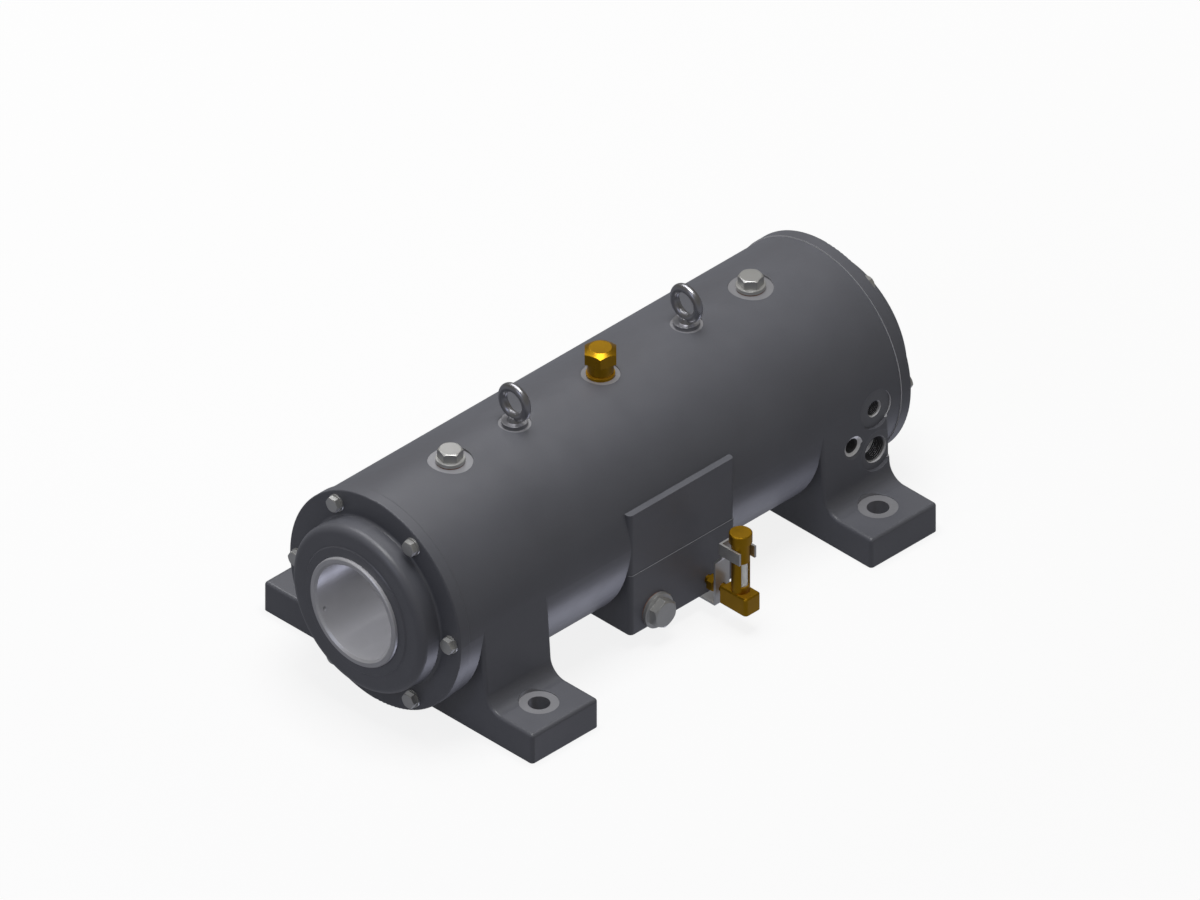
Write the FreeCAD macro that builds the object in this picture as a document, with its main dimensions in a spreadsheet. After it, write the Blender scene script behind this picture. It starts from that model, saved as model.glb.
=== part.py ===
import FreeCAD, Part
import math
import os

import Sketcher

# Oil lubricated bearing housing on two feet: an iron barrel with a bearing at each end, flanged covers,
# labyrinth sleeves for the shaft, lifting eyes, plugs, breather, side sump and an oil level gauge.
# Millimetres. Z is up from the base, Y runs along the shaft axis, the front end lies towards -Y.
# The origin is the centre of the base, under the shaft axis.

SIZES = [
    # Casting
    ("barrel_wall", 25.0),
    ("barrel_rise", 3.0),
    ("barrel_overhang", 20.0),
    ("foot_pitch", 502.0),
    ("foot_bolt_gap", 28.25),
    ("foot_bolt_edge", 39.0),
    ("foot_hole", 24.0),
    ("foot_seat", 43.0),
    ("foot_seat_sink", 1.0),
    ("foot_depth", 98.0),
    ("foot_thickness", 36.0),
    ("foot_blend", 20.0),
    ("foot_round", 4.0),
    ("pedestal_inset", 0.4),
    ("pedestal_lean", 7.15),
    ("pedestal_top_rise", 9.0),
    ("shoulder_step", 8.0),
    ("shoulder_width", 32.0),
    ("cavity_relief", 3.0),
    ("oil_groove", 16.0),
    ("oil_groove_sink", 3.0),
    # Side sump and its plain plate
    ("sump_proud", 0.6),
    ("sump_front", 82.0),
    ("sump_rear", 73.0),
    ("sump_drop", 109.0),
    ("sump_ledge", 34.0),
    ("sump_ledge_step", 1.0),
    ("sump_wall", 14.0),
    ("sump_round", 5.0),
    ("plate_rise", 43.0),
    ("sump_depth", 70.0),
    ("sump_head", 12.0),
    # Bearings
    ("bearing_bore", 110.0),
    ("bearing_outer", 200.0),
    ("bearing_width", 38.0),
    ("bearing_chamfer", 2.0),
    ("race_clearance", 0.1),
    ("roller_share", 0.53333),
    ("roller_length", 26.0),
    ("roller_chamfer", 0.8),
    ("roller_lip", 3.8),
    ("roller_cage_width", 34.0),
    ("pocket_gap", 0.15),
    ("ball_share", 0.6356),
    ("ball_groove_slack", 1.2),
    ("ball_cage_wall", 7.0),
    ("ball_cage_rim", 2.2),
    ("clip_thickness", 4.0),
    ("clip_slack", 0.15),
    ("clip_groove_depth", 3.0),
    ("clip_width", 7.8),
    ("clip_opening", 16.0),
    ("clip_eye", 12.0),
    ("clip_eye_hole", 5.0),
    ("flinger_gap", 14.0),
    ("flinger_disc", 5.0),
    ("flinger_hub", 11.0),
    ("flinger_length", 28.0),
    # End covers
    ("cover_proud", 1.5),
    ("cover_flange", 14.0),
    ("cover_edge", 1.5),
    ("hub_gap", 5.0),
    ("hub_height", 28.0),
    ("hub_round", 9.0),
    ("hub_root", 3.0),
    ("rim_inset", 22.5),
    ("rim_height", 1.5),
    ("cover_wall", 12.0),
    ("seal_land", 10.0),
    ("seal_land_sink", 4.0),
    ("spigot_depth", 14.0),
    ("spigot_gap", 0.05),
    ("cord_diameter", 3.7),
    ("cord_groove", 4.8),
    ("cord_groove_depth", 3.7),
    ("cord_inset", 5.0),
    ("screw_thread", 10.0),
    ("screw_across", 16.0),
    ("screw_head", 6.4),
    ("screw_length", 35.0),
    ("screw_hole", 11.0),
    ("screw_tap_depth", 25.0),
    ("washer_diameter", 20.0),
    ("washer_hole", 10.5),
    ("washer_thickness", 2.0),
    ("thread_gap", 0.05),
    # Labyrinth sleeves
    ("sleeve_wall", 8.0),
    ("sleeve_overhang", 4.0),
    ("sleeve_gap", 0.3),
    ("sleeve_lead", 2.5),
    ("sleeve_edge", 1.0),
    ("labyrinth_width", 3.0),
    ("labyrinth_depth", 2.5),
    ("labyrinth_pitch", 8.0),
    ("lock_hole", 4.5),
    ("lock_inset", 9.0),
    ("lock_angle", 205.0),
    # Top fittings
    ("seat_clean", 0.1),
    ("plug_offset", 28.5),
    ("plug_seat", 48.5),
    ("plug_thread", 26.4),
    ("plug_shank", 12.0),
    ("plug_tap_depth", 14.0),
    ("plug_collar", 32.0),
    ("plug_collar_height", 4.0),
    ("plug_across", 24.0),
    ("plug_hexagon", 10.7),
    ("plug_passage", 16.0),
    ("seal_ring_outer", 31.0),
    ("seal_ring_hole", 26.8),
    ("seal_ring_thickness", 1.5),
    ("eye_pitch", 254.5),
    ("eye_seat", 35.2),
    ("eye_collar", 29.0),
    ("eye_collar_height", 4.8),
    ("eye_ring_outer", 45.0),
    ("eye_ring_hole", 25.0),
    ("eye_height", 49.8),
    ("eye_thread", 10.0),
    ("eye_shank", 17.0),
    ("eye_tap_depth", 18.0),
    ("eye_neck", 17.0),
    ("eye_neck_top", 13.0),
    ("breather_seat", 42.0),
    ("breather_thread", 20.8),
    ("breather_shank", 12.0),
    ("breather_collar", 31.0),
    ("breather_collar_height", 3.0),
    ("breather_waist", 25.0),
    ("breather_waist_height", 1.5),
    ("breather_barrel", 28.0),
    ("breather_barrel_height", 13.8),
    ("breather_neck", 20.0),
    ("breather_neck_height", 11.0),
    ("breather_cap_across", 33.3),
    ("breather_cap_height", 16.0),
    ("breather_cap_flat", 24.0),
    ("breather_gap", 0.5),
    # Drain and oil level gauge
    ("drain_station", -45.2),
    ("drain_drop", 91.5),
    ("drain_collar", 41.0),
    ("drain_collar_height", 4.7),
    ("drain_across", 29.5),
    ("drain_hexagon", 10.0),
    ("drain_seal_outer", 39.0),
    ("gauge_station", 32.5),
    ("gauge_drop", 92.0),
    ("gauge_reach", 48.4),
    ("gauge_shank", 12.0),
    ("gauge_hexagon_start", 6.0),
    ("gauge_hexagon_length", 8.4),
    ("gauge_across", 17.0),
    ("gauge_pipe", 10.0),
    ("gauge_pipe_entry", 8.0),
    ("elbow_back", 19.0),
    ("elbow_front", 19.0),
    ("elbow_width", 23.0),
    ("elbow_height", 21.0),
    ("elbow_round", 4.0),
    ("elbow_chamfer", 1.5),
    ("guard_diameter", 20.0),
    ("guard_wall", 1.8),
    ("guard_entry", 5.0),
    ("window_low", 8.0),
    ("window_height", 30.0),
    ("window_width", 13.0),
    ("glass_diameter", 15.2),
    ("glass_wall", 2.0),
    ("glass_channel", 9.0),
    ("cap_diameter", 25.0),
    ("cap_height", 11.5),
    ("cap_entry", 7.0),
    ("cap_top_drop", 8.0),
    ("bracket_sheet", 2.5),
    ("bracket_width", 21.0),
    ("bracket_post", 21.6),
    ("bracket_step", 9.5),
    ("bracket_step_rise", 54.0),
    ("bracket_step_height", 11.0),
    ("bracket_top_rise", 85.0),
    ("bracket_ear_height", 14.5),
    ("bracket_ear_length", 30.4),
    ("bracket_ear_gap", 0.1),
    ("bracket_foot_length", 50.0),
    ("bracket_bend", 2.0),
    ("bracket_hole_gap", 0.4),
    ("bracket_screw_inset", 30.0),
    ("bracket_screw_thread", 8.0),
    ("bracket_screw_across", 13.0),
    ("bracket_screw_head", 5.3),
    ("bracket_screw_length", 14.0),
    # Open ports in the rear pedestal
    ("vent_offset", 31.5),
    ("vent_drop", 1.0),
    ("vent_sink", 2.1),
    ("vent_tap_depth", 18.5),
    ("vent_passage", 11.0),
    ("vent_hole", 19.6),
    ("vent_seat", 45.6),
    ("probe_offset", -3.7),
    ("probe_drop", 30.4),
    ("probe_proud", 2.2),
    ("probe_hole", 17.4),
    ("probe_mouth", 26.0),
    ("probe_mouth_depth", 3.0),
    ("probe_tap_depth", 24.0),
    ("probe_passage", 6.0),
    ("feed_offset", 30.6),
    ("feed_drop", 51.1),
    ("feed_proud", 0.9),
    ("feed_hole", 31.4),
    ("feed_seat", 47.4),
    ("feed_tap_depth", 22.0),
    ("feed_passage", 15.0),
]

ROLLERS = 16
BALLS = 10
COVER_SCREWS = 6
LABYRINTH_GROOVES = 3
ROOT_THREE = math.sqrt(3.0)
HEAD_SLOPE = 1.0 / ROOT_THREE
HEAD_FLAT = 0.475
BEYOND = 5.0


class Size:
    """A length with its number and the expression that binds it to the sheet."""

    def __init__(self, text, value):
        self.text = text
        self.value = value

    def __add__(self, other):
        other = as_size(other)
        return Size("(%s + %s)" % (self.text, other.text), self.value + other.value)

    def __sub__(self, other):
        other = as_size(other)
        return Size("(%s - %s)" % (self.text, other.text), self.value - other.value)

    def __mul__(self, factor):
        factor = as_size(factor)
        return Size("(%s * %s)" % (self.text, factor.text), self.value * factor.value)

    def __truediv__(self, divisor):
        divisor = as_size(divisor)
        return Size("(%s / %s)" % (self.text, divisor.text), self.value / divisor.value)

    def __neg__(self):
        return Size("(0 - %s)" % self.text, -self.value)


def as_size(number):
    """Turns a plain number into a Size."""
    if isinstance(number, Size):
        return number
    return Size("(%r)" % float(number), float(number))


def leg(hypotenuse, side):
    """The other short side of a right-angled triangle."""
    text = "sqrt(%s * %s - %s * %s)" % (hypotenuse.text, hypotenuse.text, side.text, side.text)
    return Size(text, math.sqrt(hypotenuse.value ** 2 - side.value ** 2))


class Sheet:
    """The spreadsheet of driving sizes, read as attributes."""

    def __init__(self, document, rows):
        self.cells = document.addObject("Spreadsheet::Sheet", "sizes")
        for row, (alias, value) in enumerate(rows, start=1):
            self.cells.set("A%d" % row, alias.replace("_", " "))
            self.cells.set("B%d" % row, str(value))
            self.cells.setAlias("B%d" % row, alias)
            setattr(self, alias, Size("sizes.%s" % alias, value))


doc = FreeCAD.newDocument("bearing_housing")
size = Sheet(doc, SIZES)
doc.recompute()
pieces = []


# Helpers for sketches and features

def bind(thing, name, amount):
    """Sets a property and ties it to the sheet."""
    setattr(thing, name, amount.value)
    thing.setExpression(name, amount.text)


def place(thing, spots, axis=(0, 0, 1), turn=0.0):
    """Places a piece at three sizes, turned about an axis."""
    base = FreeCAD.Vector(*[amount.value for amount in spots])
    thing.Placement = FreeCAD.Placement(base, FreeCAD.Rotation(FreeCAD.Vector(*axis), turn))
    for letter, amount in zip("xyz", spots):
        thing.setExpression(".Placement.Base.%s" % letter, amount.text)


def new_piece(name):
    """A body for one piece. Its label is the name of its file."""
    body = doc.addObject("PartDesign::Body", name)
    body.Label = name
    if hasattr(body, "AllowCompound"):
        body.AllowCompound = True
    pieces.append(body)
    return body


def datum(body, role):
    """A plane or axis of the body's own origin."""
    for feature in body.Origin.OriginFeatures:
        if feature.Role == role:
            return feature
    raise ValueError(role)


def new_sketch(body, name, role, shift=None):
    """A sketch on one of the body's origin planes, shifted in that plane's own directions."""
    sketch = body.newObject("Sketcher::SketchObject", name)
    sketch.AttachmentSupport = (datum(body, role), [""])
    sketch.MapMode = "FlatFace"
    if shift:
        spots = [as_size(amount) for amount in shift]
        base = FreeCAD.Vector(*[amount.value for amount in spots])
        sketch.AttachmentOffset = FreeCAD.Placement(base, FreeCAD.Rotation())
        for letter, amount in zip("xyz", spots):
            sketch.setExpression(".AttachmentOffset.Base.%s" % letter, amount.text)
    return sketch


def pin_point(sketch, item, end, across, up):
    """Ties one point of a sketch to two sizes from the sketch's origin."""
    for kind, amount in (("DistanceX", as_size(across)), ("DistanceY", as_size(up))):
        number = sketch.addConstraint(Sketcher.Constraint(kind, -1, 1, item, end, amount.value))
        sketch.setExpression("Constraints[%d]" % number, amount.text)


def draw_polygon(sketch, corners):
    """A closed outline through corners given as pairs of sizes."""
    spots = [(as_size(across), as_size(up)) for across, up in corners]
    points = [FreeCAD.Vector(across.value, up.value, 0) for across, up in spots]
    first = sketch.GeometryCount
    count = len(points)
    for index in range(count):
        sketch.addGeometry(Part.LineSegment(points[index], points[(index + 1) % count]), False)
    for index in range(count):
        following = first + (index + 1) % count
        sketch.addConstraint(Sketcher.Constraint("Coincident", first + index, 2, following, 1))
    for index, (across, up) in enumerate(spots):
        pin_point(sketch, first + index, 1, across, up)


def draw_block(sketch, left, right, low, high, radius):
    """A rectangle between four sizes, with its two right-hand corners rounded."""
    left, right, low, high = [as_size(amount) for amount in (left, right, low, high)]
    corners = [(left, low), (right, low), (right, high), (left, high)]
    spots = [FreeCAD.Vector(across.value, up.value, 0) for across, up in corners]
    cut = radius.value
    bottom = sketch.addGeometry(Part.LineSegment(spots[0], spots[1] - FreeCAD.Vector(cut, 0, 0)), False)
    upright_start = spots[1] + FreeCAD.Vector(0, cut, 0)
    upright_end = spots[2] - FreeCAD.Vector(0, cut, 0)
    upright = sketch.addGeometry(Part.LineSegment(upright_start, upright_end), False)
    top = sketch.addGeometry(Part.LineSegment(spots[2] - FreeCAD.Vector(cut, 0, 0), spots[3]), False)
    back = sketch.addGeometry(Part.LineSegment(spots[3], spots[0]), False)
    up_axis = FreeCAD.Vector(0, 0, 1)
    low_circle = Part.Circle(spots[1] + FreeCAD.Vector(-cut, cut, 0), up_axis, cut)
    high_circle = Part.Circle(spots[2] + FreeCAD.Vector(-cut, -cut, 0), up_axis, cut)
    low_arc = sketch.addGeometry(Part.ArcOfCircle(low_circle, -math.pi / 2, 0), False)
    high_arc = sketch.addGeometry(Part.ArcOfCircle(high_circle, 0, math.pi / 2), False)
    for item, kind, amount in ((bottom, "DistanceY", low), (upright, "DistanceX", right),
                               (top, "DistanceY", high), (back, "DistanceX", left)):
        straight = "Horizontal" if kind == "DistanceY" else "Vertical"
        sketch.addConstraint(Sketcher.Constraint(straight, item))
        number = sketch.addConstraint(Sketcher.Constraint(kind, -1, 1, item, 1, amount.value))
        sketch.setExpression("Constraints[%d]" % number, amount.text)
    sketch.addConstraint(Sketcher.Constraint("Coincident", top, 2, back, 1))
    sketch.addConstraint(Sketcher.Constraint("Coincident", back, 2, bottom, 1))
    for line, end, arc, start in ((bottom, 2, low_arc, 1), (upright, 1, low_arc, 2),
                                  (upright, 2, high_arc, 1), (top, 1, high_arc, 2)):
        sketch.addConstraint(Sketcher.Constraint("Tangent", line, end, arc, start))
    for arc in (low_arc, high_arc):
        number = sketch.addConstraint(Sketcher.Constraint("Radius", arc, cut))
        sketch.setExpression("Constraints[%d]" % number, radius.text)


def draw_circle(sketch, across, up, diameter):
    """A circle tied to its centre and diameter."""
    across = as_size(across)
    up = as_size(up)
    radius = diameter / 2
    centre = FreeCAD.Vector(across.value, up.value, 0)
    item = sketch.addGeometry(Part.Circle(centre, FreeCAD.Vector(0, 0, 1), radius.value), False)
    pin_point(sketch, item, 3, across, up)
    number = sketch.addConstraint(Sketcher.Constraint("Radius", item, radius.value))
    sketch.setExpression("Constraints[%d]" % number, radius.text)


def hexagon_corners(across_flats, across=0.0, up=0.0):
    """The corners of a hexagon with flats above and below its centre."""
    half_side = across_flats / (2 * ROOT_THREE)
    half_flat = across_flats / 2
    across = as_size(across)
    up = as_size(up)
    return [
        (across + half_side * 2, up),
        (across + half_side, up + half_flat),
        (across - half_side, up + half_flat),
        (across - half_side * 2, up),
        (across - half_side, up - half_flat),
        (across + half_side, up - half_flat),
    ]


def pad(body, name, sketch, length, back=False, both=False):
    """Raises a sketch along its normal, against it, or both ways."""
    feature = body.newObject("PartDesign::Pad", name)
    feature.Profile = sketch
    bind(feature, "Length", length)
    feature.Reversed = back
    feature.Midplane = both
    return feature


def pocket(body, name, sketch, depth, ahead=False, both=False):
    """Cuts a sketch against its normal, or along it where ahead is set."""
    feature = body.newObject("PartDesign::Pocket", name)
    feature.Profile = sketch
    bind(feature, "Length", depth)
    feature.Reversed = ahead
    feature.Midplane = both
    return feature


def revolve(body, name, sketch, axis="V_Axis", cut=False):
    """Turns a sketch once round one of its own axes."""
    kind = "PartDesign::Groove" if cut else "PartDesign::Revolution"
    feature = body.newObject(kind, name)
    feature.Profile = sketch
    feature.ReferenceAxis = (sketch, [axis])
    feature.Angle = 360.0
    return feature


def around(body, name, originals, count):
    """Repeats features evenly round the body's own Z axis."""
    feature = body.newObject("PartDesign::PolarPattern", name)
    feature.Originals = originals
    feature.Axis = (datum(body, "Z_Axis"), [""])
    feature.Angle = 360.0
    feature.Occurrences = count
    body.Tip = feature
    return feature


def pick_edges(feature, test):
    """Names of the edges of a feature that pass a test."""
    names = []
    for number, edge in enumerate(feature.Shape.Edges, start=1):
        if test(edge):
            names.append("Edge%d" % number)
    if not names:
        raise RuntimeError("no edge found on " + feature.Name)
    return names


def near(first, second):
    return abs(first - second) < 1e-4


def ring_edge(radius, height):
    """A test for a full circle about the body's own Z axis."""
    def test(edge):
        curve = edge.Curve
        if not isinstance(curve, Part.Circle):
            return False
        on_axis = near(curve.Center.x, 0) and near(curve.Center.y, 0)
        return on_axis and near(curve.Radius, radius.value) and near(curve.Center.z, height.value)
    return test


def straight_edge(direction, spots):
    """A test for a straight edge along a direction, with given coordinates (None where free)."""
    def test(edge):
        if not isinstance(edge.Curve, Part.Line):
            return False
        if abs(edge.Curve.Direction.dot(FreeCAD.Vector(*direction))) < 0.999:
            return False
        middle = edge.valueAt((edge.FirstParameter + edge.LastParameter) / 2)
        for have, want in zip(middle, spots):
            if want is not None and not near(have, want):
                return False
        return True
    return test


def either(*tests):
    """A test that passes where any of the given tests passes."""
    return lambda edge: any(test(edge) for test in tests)


def dress(body, kind, name, base, test, amount):
    """A fillet or chamfer on the edges of a feature that pass a test."""
    doc.recompute()
    feature = body.newObject("PartDesign::" + kind, name)
    feature.Base = (base, pick_edges(base, test))
    bind(feature, "Radius" if kind == "Fillet" else "Size", amount)
    body.Tip = feature
    return feature


# Stations and radii that several pieces share

seat_radius = size.bearing_outer / 2
shaft_radius = size.bearing_bore / 2
barrel_radius = seat_radius + size.barrel_wall
axis_height = barrel_radius + size.barrel_rise
bearing_middle = size.foot_pitch / 2
bearing_inboard = bearing_middle - size.bearing_width / 2
bearing_outboard = bearing_middle + size.bearing_width / 2
ring_section = seat_radius - shaft_radius
pitch_radius = (seat_radius + shaft_radius) / 2
shoulder_radius = seat_radius - size.shoulder_step
cavity_radius = seat_radius + size.cavity_relief
clip_groove_radius = seat_radius + size.clip_groove_depth
clip_groove_end = bearing_outboard + size.clip_thickness + size.clip_slack
foot_inner = (size.foot_pitch - size.foot_depth) / 2
foot_outer = foot_inner + size.foot_depth
barrel_end = foot_outer + size.barrel_overhang
flange_face = barrel_end + size.cover_flange
hub_face = flange_face + size.hub_height
rim_face = hub_face + size.rim_height
sleeve_radius = shaft_radius + size.sleeve_wall
sleeve_front = rim_face + size.sleeve_overhang
screw_seat = flange_face + size.washer_thickness
screw_radius = (seat_radius + barrel_radius) / 2
cover_radius = barrel_radius + size.cover_proud
pedestal_top = barrel_radius - size.pedestal_inset
pedestal_side = pedestal_top + size.pedestal_lean
foot_bolt = pedestal_side + size.foot_bolt_gap
foot_side = foot_bolt + size.foot_bolt_edge
plate_face = barrel_radius + size.sump_proud
sump_face = plate_face + size.sump_ledge_step
glass_axis = sump_face + size.gauge_reach
plug_station = bearing_middle - size.plug_offset
sump_bottom = axis_height - size.sump_drop
plug_seat_height = leg(barrel_radius, size.plug_seat / 2) - size.seat_clean
eye_seat_height = leg(barrel_radius, size.eye_seat / 2) - size.seat_clean
breather_seat_height = leg(barrel_radius, size.breather_seat / 2) - size.seat_clean
gauge_height = axis_height - size.gauge_drop
elbow_top = gauge_height + size.elbow_height / 2
cap_top = axis_height - size.cap_top_drop
cap_bottom = cap_top - size.cap_height


# The casting

def casting_foot(body, end, start):
    """One foot bar with its pedestal, whose sides lean in until they run into the barrel."""
    section = new_sketch(body, end + "_foot_section", "XZ_Plane", (0, 0, start))
    draw_polygon(section, [
        (-foot_side, 0),
        (foot_side, 0),
        (foot_side, size.foot_thickness),
        (pedestal_side, size.foot_thickness),
        (pedestal_top, axis_height + size.pedestal_top_rise),
        (-pedestal_top, axis_height + size.pedestal_top_rise),
        (-pedestal_side, size.foot_thickness),
        (-foot_side, size.foot_thickness),
    ])
    return pad(body, end + "_foot", section, size.foot_depth)


def casting_rounds(body, base):
    """Blends between foot bars and pedestals, and the rounded corners of both."""
    side = pedestal_side.value
    top = size.foot_thickness.value
    wide = foot_side.value
    blend = dress(body, "Fillet", "foot_blends", base,
                  either(straight_edge((0, 1, 0), (side, None, top)),
                         straight_edge((0, 1, 0), (-side, None, top))),
                  size.foot_blend)
    corners = []
    for across in (wide, -wide):
        corners.append(straight_edge((0, 1, 0), (across, None, top)))
    for along in (foot_inner.value, foot_outer.value):
        corners.append(straight_edge((1, 0, 0), (None, along, top)))
        corners.append(straight_edge((1, 0, 0), (None, -along, top)))
        for across in (wide, -wide):
            corners.append(straight_edge((0, 0, 1), (across, along, None)))
            corners.append(straight_edge((0, 0, 1), (across, -along, None)))
    return dress(body, "Fillet", "foot_corners", blend, either(*corners), size.foot_round)


def casting_sump(body):
    """The side sump and, a small step back above it, the plain plate. Both run into the barrel."""
    ledge = axis_height - size.sump_ledge
    levels = (
        ("sump", sump_bottom, sump_face, size.sump_drop - size.sump_ledge),
        ("side_plate", ledge, plate_face, size.sump_ledge + size.plate_rise),
    )
    for name, level, face, rise in levels:
        section = new_sketch(body, name + "_section", "XY_Plane", (0, 0, level))
        draw_block(section, plate_face / 2, face, -size.sump_front, size.sump_rear, size.sump_round)
        pad(body, name, section, rise)


def casting_barrel(body):
    """The barrel, which joins feet and sump into one casting."""
    section = new_sketch(body, "barrel_section", "XZ_Plane", (0, axis_height, 0))
    draw_circle(section, 0, 0, barrel_radius * 2)
    return pad(body, "barrel", section, barrel_end * 2, both=True)


def casting_bore(body):
    """The bearing seats, their shoulders, retaining ring grooves and the oil cavity, turned in one."""
    half_cavity = bearing_inboard - size.shoulder_width
    half_profile = [
        (half_cavity, cavity_radius),
        (half_cavity, shoulder_radius),
        (bearing_inboard, shoulder_radius),
        (bearing_inboard, seat_radius),
        (bearing_outboard, seat_radius),
        (bearing_outboard, clip_groove_radius),
        (clip_groove_end, clip_groove_radius),
        (clip_groove_end, seat_radius),
        (barrel_end + BEYOND, seat_radius),
        (barrel_end + BEYOND, as_size(0)),
    ]
    mirrored = [(-along, radius) for along, radius in reversed(half_profile)]
    section = new_sketch(body, "bore_section", "YZ_Plane", (0, axis_height, 0))
    draw_polygon(section, mirrored + half_profile)
    return revolve(body, "bore", section, axis="H_Axis", cut=True)


def casting_hollows(body):
    """The sump pocket and the oil return groove under the bearings."""
    ceiling = axis_height - size.sump_ledge - size.sump_head
    section = new_sketch(body, "sump_pocket_section", "XZ_Plane", (0, 0, -size.sump_rear + size.sump_wall))
    draw_polygon(section, [
        (sump_face - size.sump_wall - size.sump_depth, sump_bottom + size.sump_wall),
        (sump_face - size.sump_wall, sump_bottom + size.sump_wall),
        (sump_face - size.sump_wall, ceiling),
        (sump_face - size.sump_wall - size.sump_depth, ceiling),
    ])
    depth = size.sump_front + size.sump_rear - size.sump_wall * 2
    pocket(body, "sump_pocket", section, depth, ahead=True)
    groove = new_sketch(body, "oil_groove_section", "XZ_Plane")
    draw_circle(groove, 0, axis_height - seat_radius - size.oil_groove_sink, size.oil_groove)
    pocket(body, "oil_return", groove, (barrel_end - size.spigot_depth * 1.5) * 2, both=True)


def sunk_seat(body, name, plane, spot, level, diameter):
    """A machined spot face that clears everything outboard of its level."""
    section = new_sketch(body, name + "_section", plane, (spot[0], spot[1], level))
    draw_circle(section, 0, 0, diameter)
    return pocket(body, name, section, size.foot_blend * 2, ahead=True)


def drilled_hole(body, name, plane, spot, level, diameter, depth):
    """A round hole from its level inwards."""
    section = new_sketch(body, name + "_section", plane, (spot[0], spot[1], level))
    draw_circle(section, 0, 0, diameter)
    return pocket(body, name, section, depth)


def casting_top(body):
    """Spot faces and tapped holes of the plugs, the lifting eyes and the breather."""
    for end, side in (("front", -1), ("rear", 1)):
        spot = (0, plug_station * side)
        level = axis_height + plug_seat_height
        sunk_seat(body, end + "_plug_seat", "XY_Plane", spot, level, size.plug_seat)
        drilled_hole(body, end + "_plug_tap", "XY_Plane", spot, level,
                     size.plug_thread + size.thread_gap * 2, size.plug_tap_depth)
        drilled_hole(body, end + "_plug_passage", "XY_Plane", spot, level,
                     size.plug_passage, barrel_radius - shoulder_radius + size.shoulder_step)
        spot = (0, size.eye_pitch / 2 * side)
        level = axis_height + eye_seat_height
        sunk_seat(body, end + "_eye_seat", "XY_Plane", spot, level, size.eye_seat)
        drilled_hole(body, end + "_eye_tap", "XY_Plane", spot, level,
                     size.eye_thread + size.thread_gap * 2, size.eye_tap_depth)
    level = axis_height + breather_seat_height
    sunk_seat(body, "breather_seat", "XY_Plane", (0, 0), level, size.breather_seat)
    drilled_hole(body, "breather_tap", "XY_Plane", (0, 0), level,
                 size.breather_thread + size.thread_gap * 2, barrel_radius - shoulder_radius)


def casting_feet_holes(body):
    """The four foundation bolt holes with their spot faces."""
    level = size.foot_thickness - size.foot_seat_sink
    for row in (-1, 1):
        for column in (-1, 1):
            name = "foot_hole_%s%s" % ("fr"[row > 0], "lr"[column > 0])
            spot = (foot_bolt * column, bearing_middle * row)
            sunk_seat(body, name + "_seat", "XY_Plane", spot, level, size.foot_seat)
            drilled_hole(body, name, "XY_Plane", spot, level, size.foot_hole, size.foot_thickness)


def casting_side(body):
    """The drain, the gauge tapping, the bracket tapping and the three open ports."""
    side = (sump_face, size.sump_wall + BEYOND)
    drilled_hole(body, "drain_tap", "YZ_Plane", (size.drain_station, axis_height - size.drain_drop),
                 side[0], size.plug_thread + size.thread_gap * 2, side[1])
    drilled_hole(body, "gauge_tap", "YZ_Plane", (size.gauge_station, gauge_height),
                 side[0], size.gauge_pipe + size.thread_gap * 2, side[1])
    section = new_sketch(body, "bracket_tap_section", "XY_Plane",
                         (sump_face - size.bracket_screw_inset, size.gauge_station, sump_bottom))
    draw_circle(section, 0, 0, size.bracket_screw_thread + size.thread_gap * 2)
    pocket(body, "bracket_tap", section, size.sump_wall - size.bracket_sheet, ahead=True)
    spot = (bearing_middle + size.vent_offset, axis_height - size.vent_drop)
    level = barrel_radius - size.vent_sink
    sunk_seat(body, "vent_port_seat", "YZ_Plane", spot, level, size.vent_seat)
    drilled_hole(body, "vent_port", "YZ_Plane", spot, level, size.vent_hole, size.vent_tap_depth)
    drilled_hole(body, "vent_passage", "YZ_Plane", spot, level, size.vent_passage, level - seat_radius / 2)
    spot = (bearing_middle + size.feed_offset, axis_height - size.feed_drop)
    level = barrel_radius + size.feed_proud
    sunk_seat(body, "feed_port_seat", "YZ_Plane", spot, level, size.feed_seat)
    drilled_hole(body, "feed_port", "YZ_Plane", spot, level, size.feed_hole, size.feed_tap_depth)
    drilled_hole(body, "feed_passage", "YZ_Plane", spot, level, size.feed_passage, level - seat_radius / 2)
    spot = (bearing_middle + size.probe_offset, axis_height - size.probe_drop)
    level = barrel_radius + size.probe_proud
    drilled_hole(body, "probe_port", "YZ_Plane", spot, level + BEYOND, size.probe_hole,
                 size.probe_tap_depth + BEYOND)
    drilled_hole(body, "probe_passage", "YZ_Plane", spot, level, size.probe_passage, level - seat_radius / 2)
    mouth = body.newObject("PartDesign::SubtractiveCone", "probe_port_mouth")
    widening = size.probe_mouth - size.probe_hole
    bind(mouth, "Radius1", size.probe_hole / 2)
    bind(mouth, "Radius2", size.probe_hole / 2 + widening)
    bind(mouth, "Height", size.probe_mouth_depth * 2)
    place(mouth, (level - size.probe_mouth_depth, spot[0], spot[1]), (0, 1, 0), 90.0)


def casting_cover_taps(body):
    """The tapped holes for the cover screws in both end faces."""
    for end, side in (("front", 1), ("rear", -1)):
        section = new_sketch(body, end + "_cover_taps", "XZ_Plane", (0, axis_height, barrel_end * side))
        for number in range(COVER_SCREWS):
            turn = 2 * math.pi * number / COVER_SCREWS
            circle = screw_radius
            draw_circle(section, circle * round(math.cos(turn), 9), circle * round(math.sin(turn), 9),
                        size.screw_thread + size.thread_gap * 2)
        pocket(body, end + "_cover_tapping", section, size.screw_tap_depth, ahead=side < 0)


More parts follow.
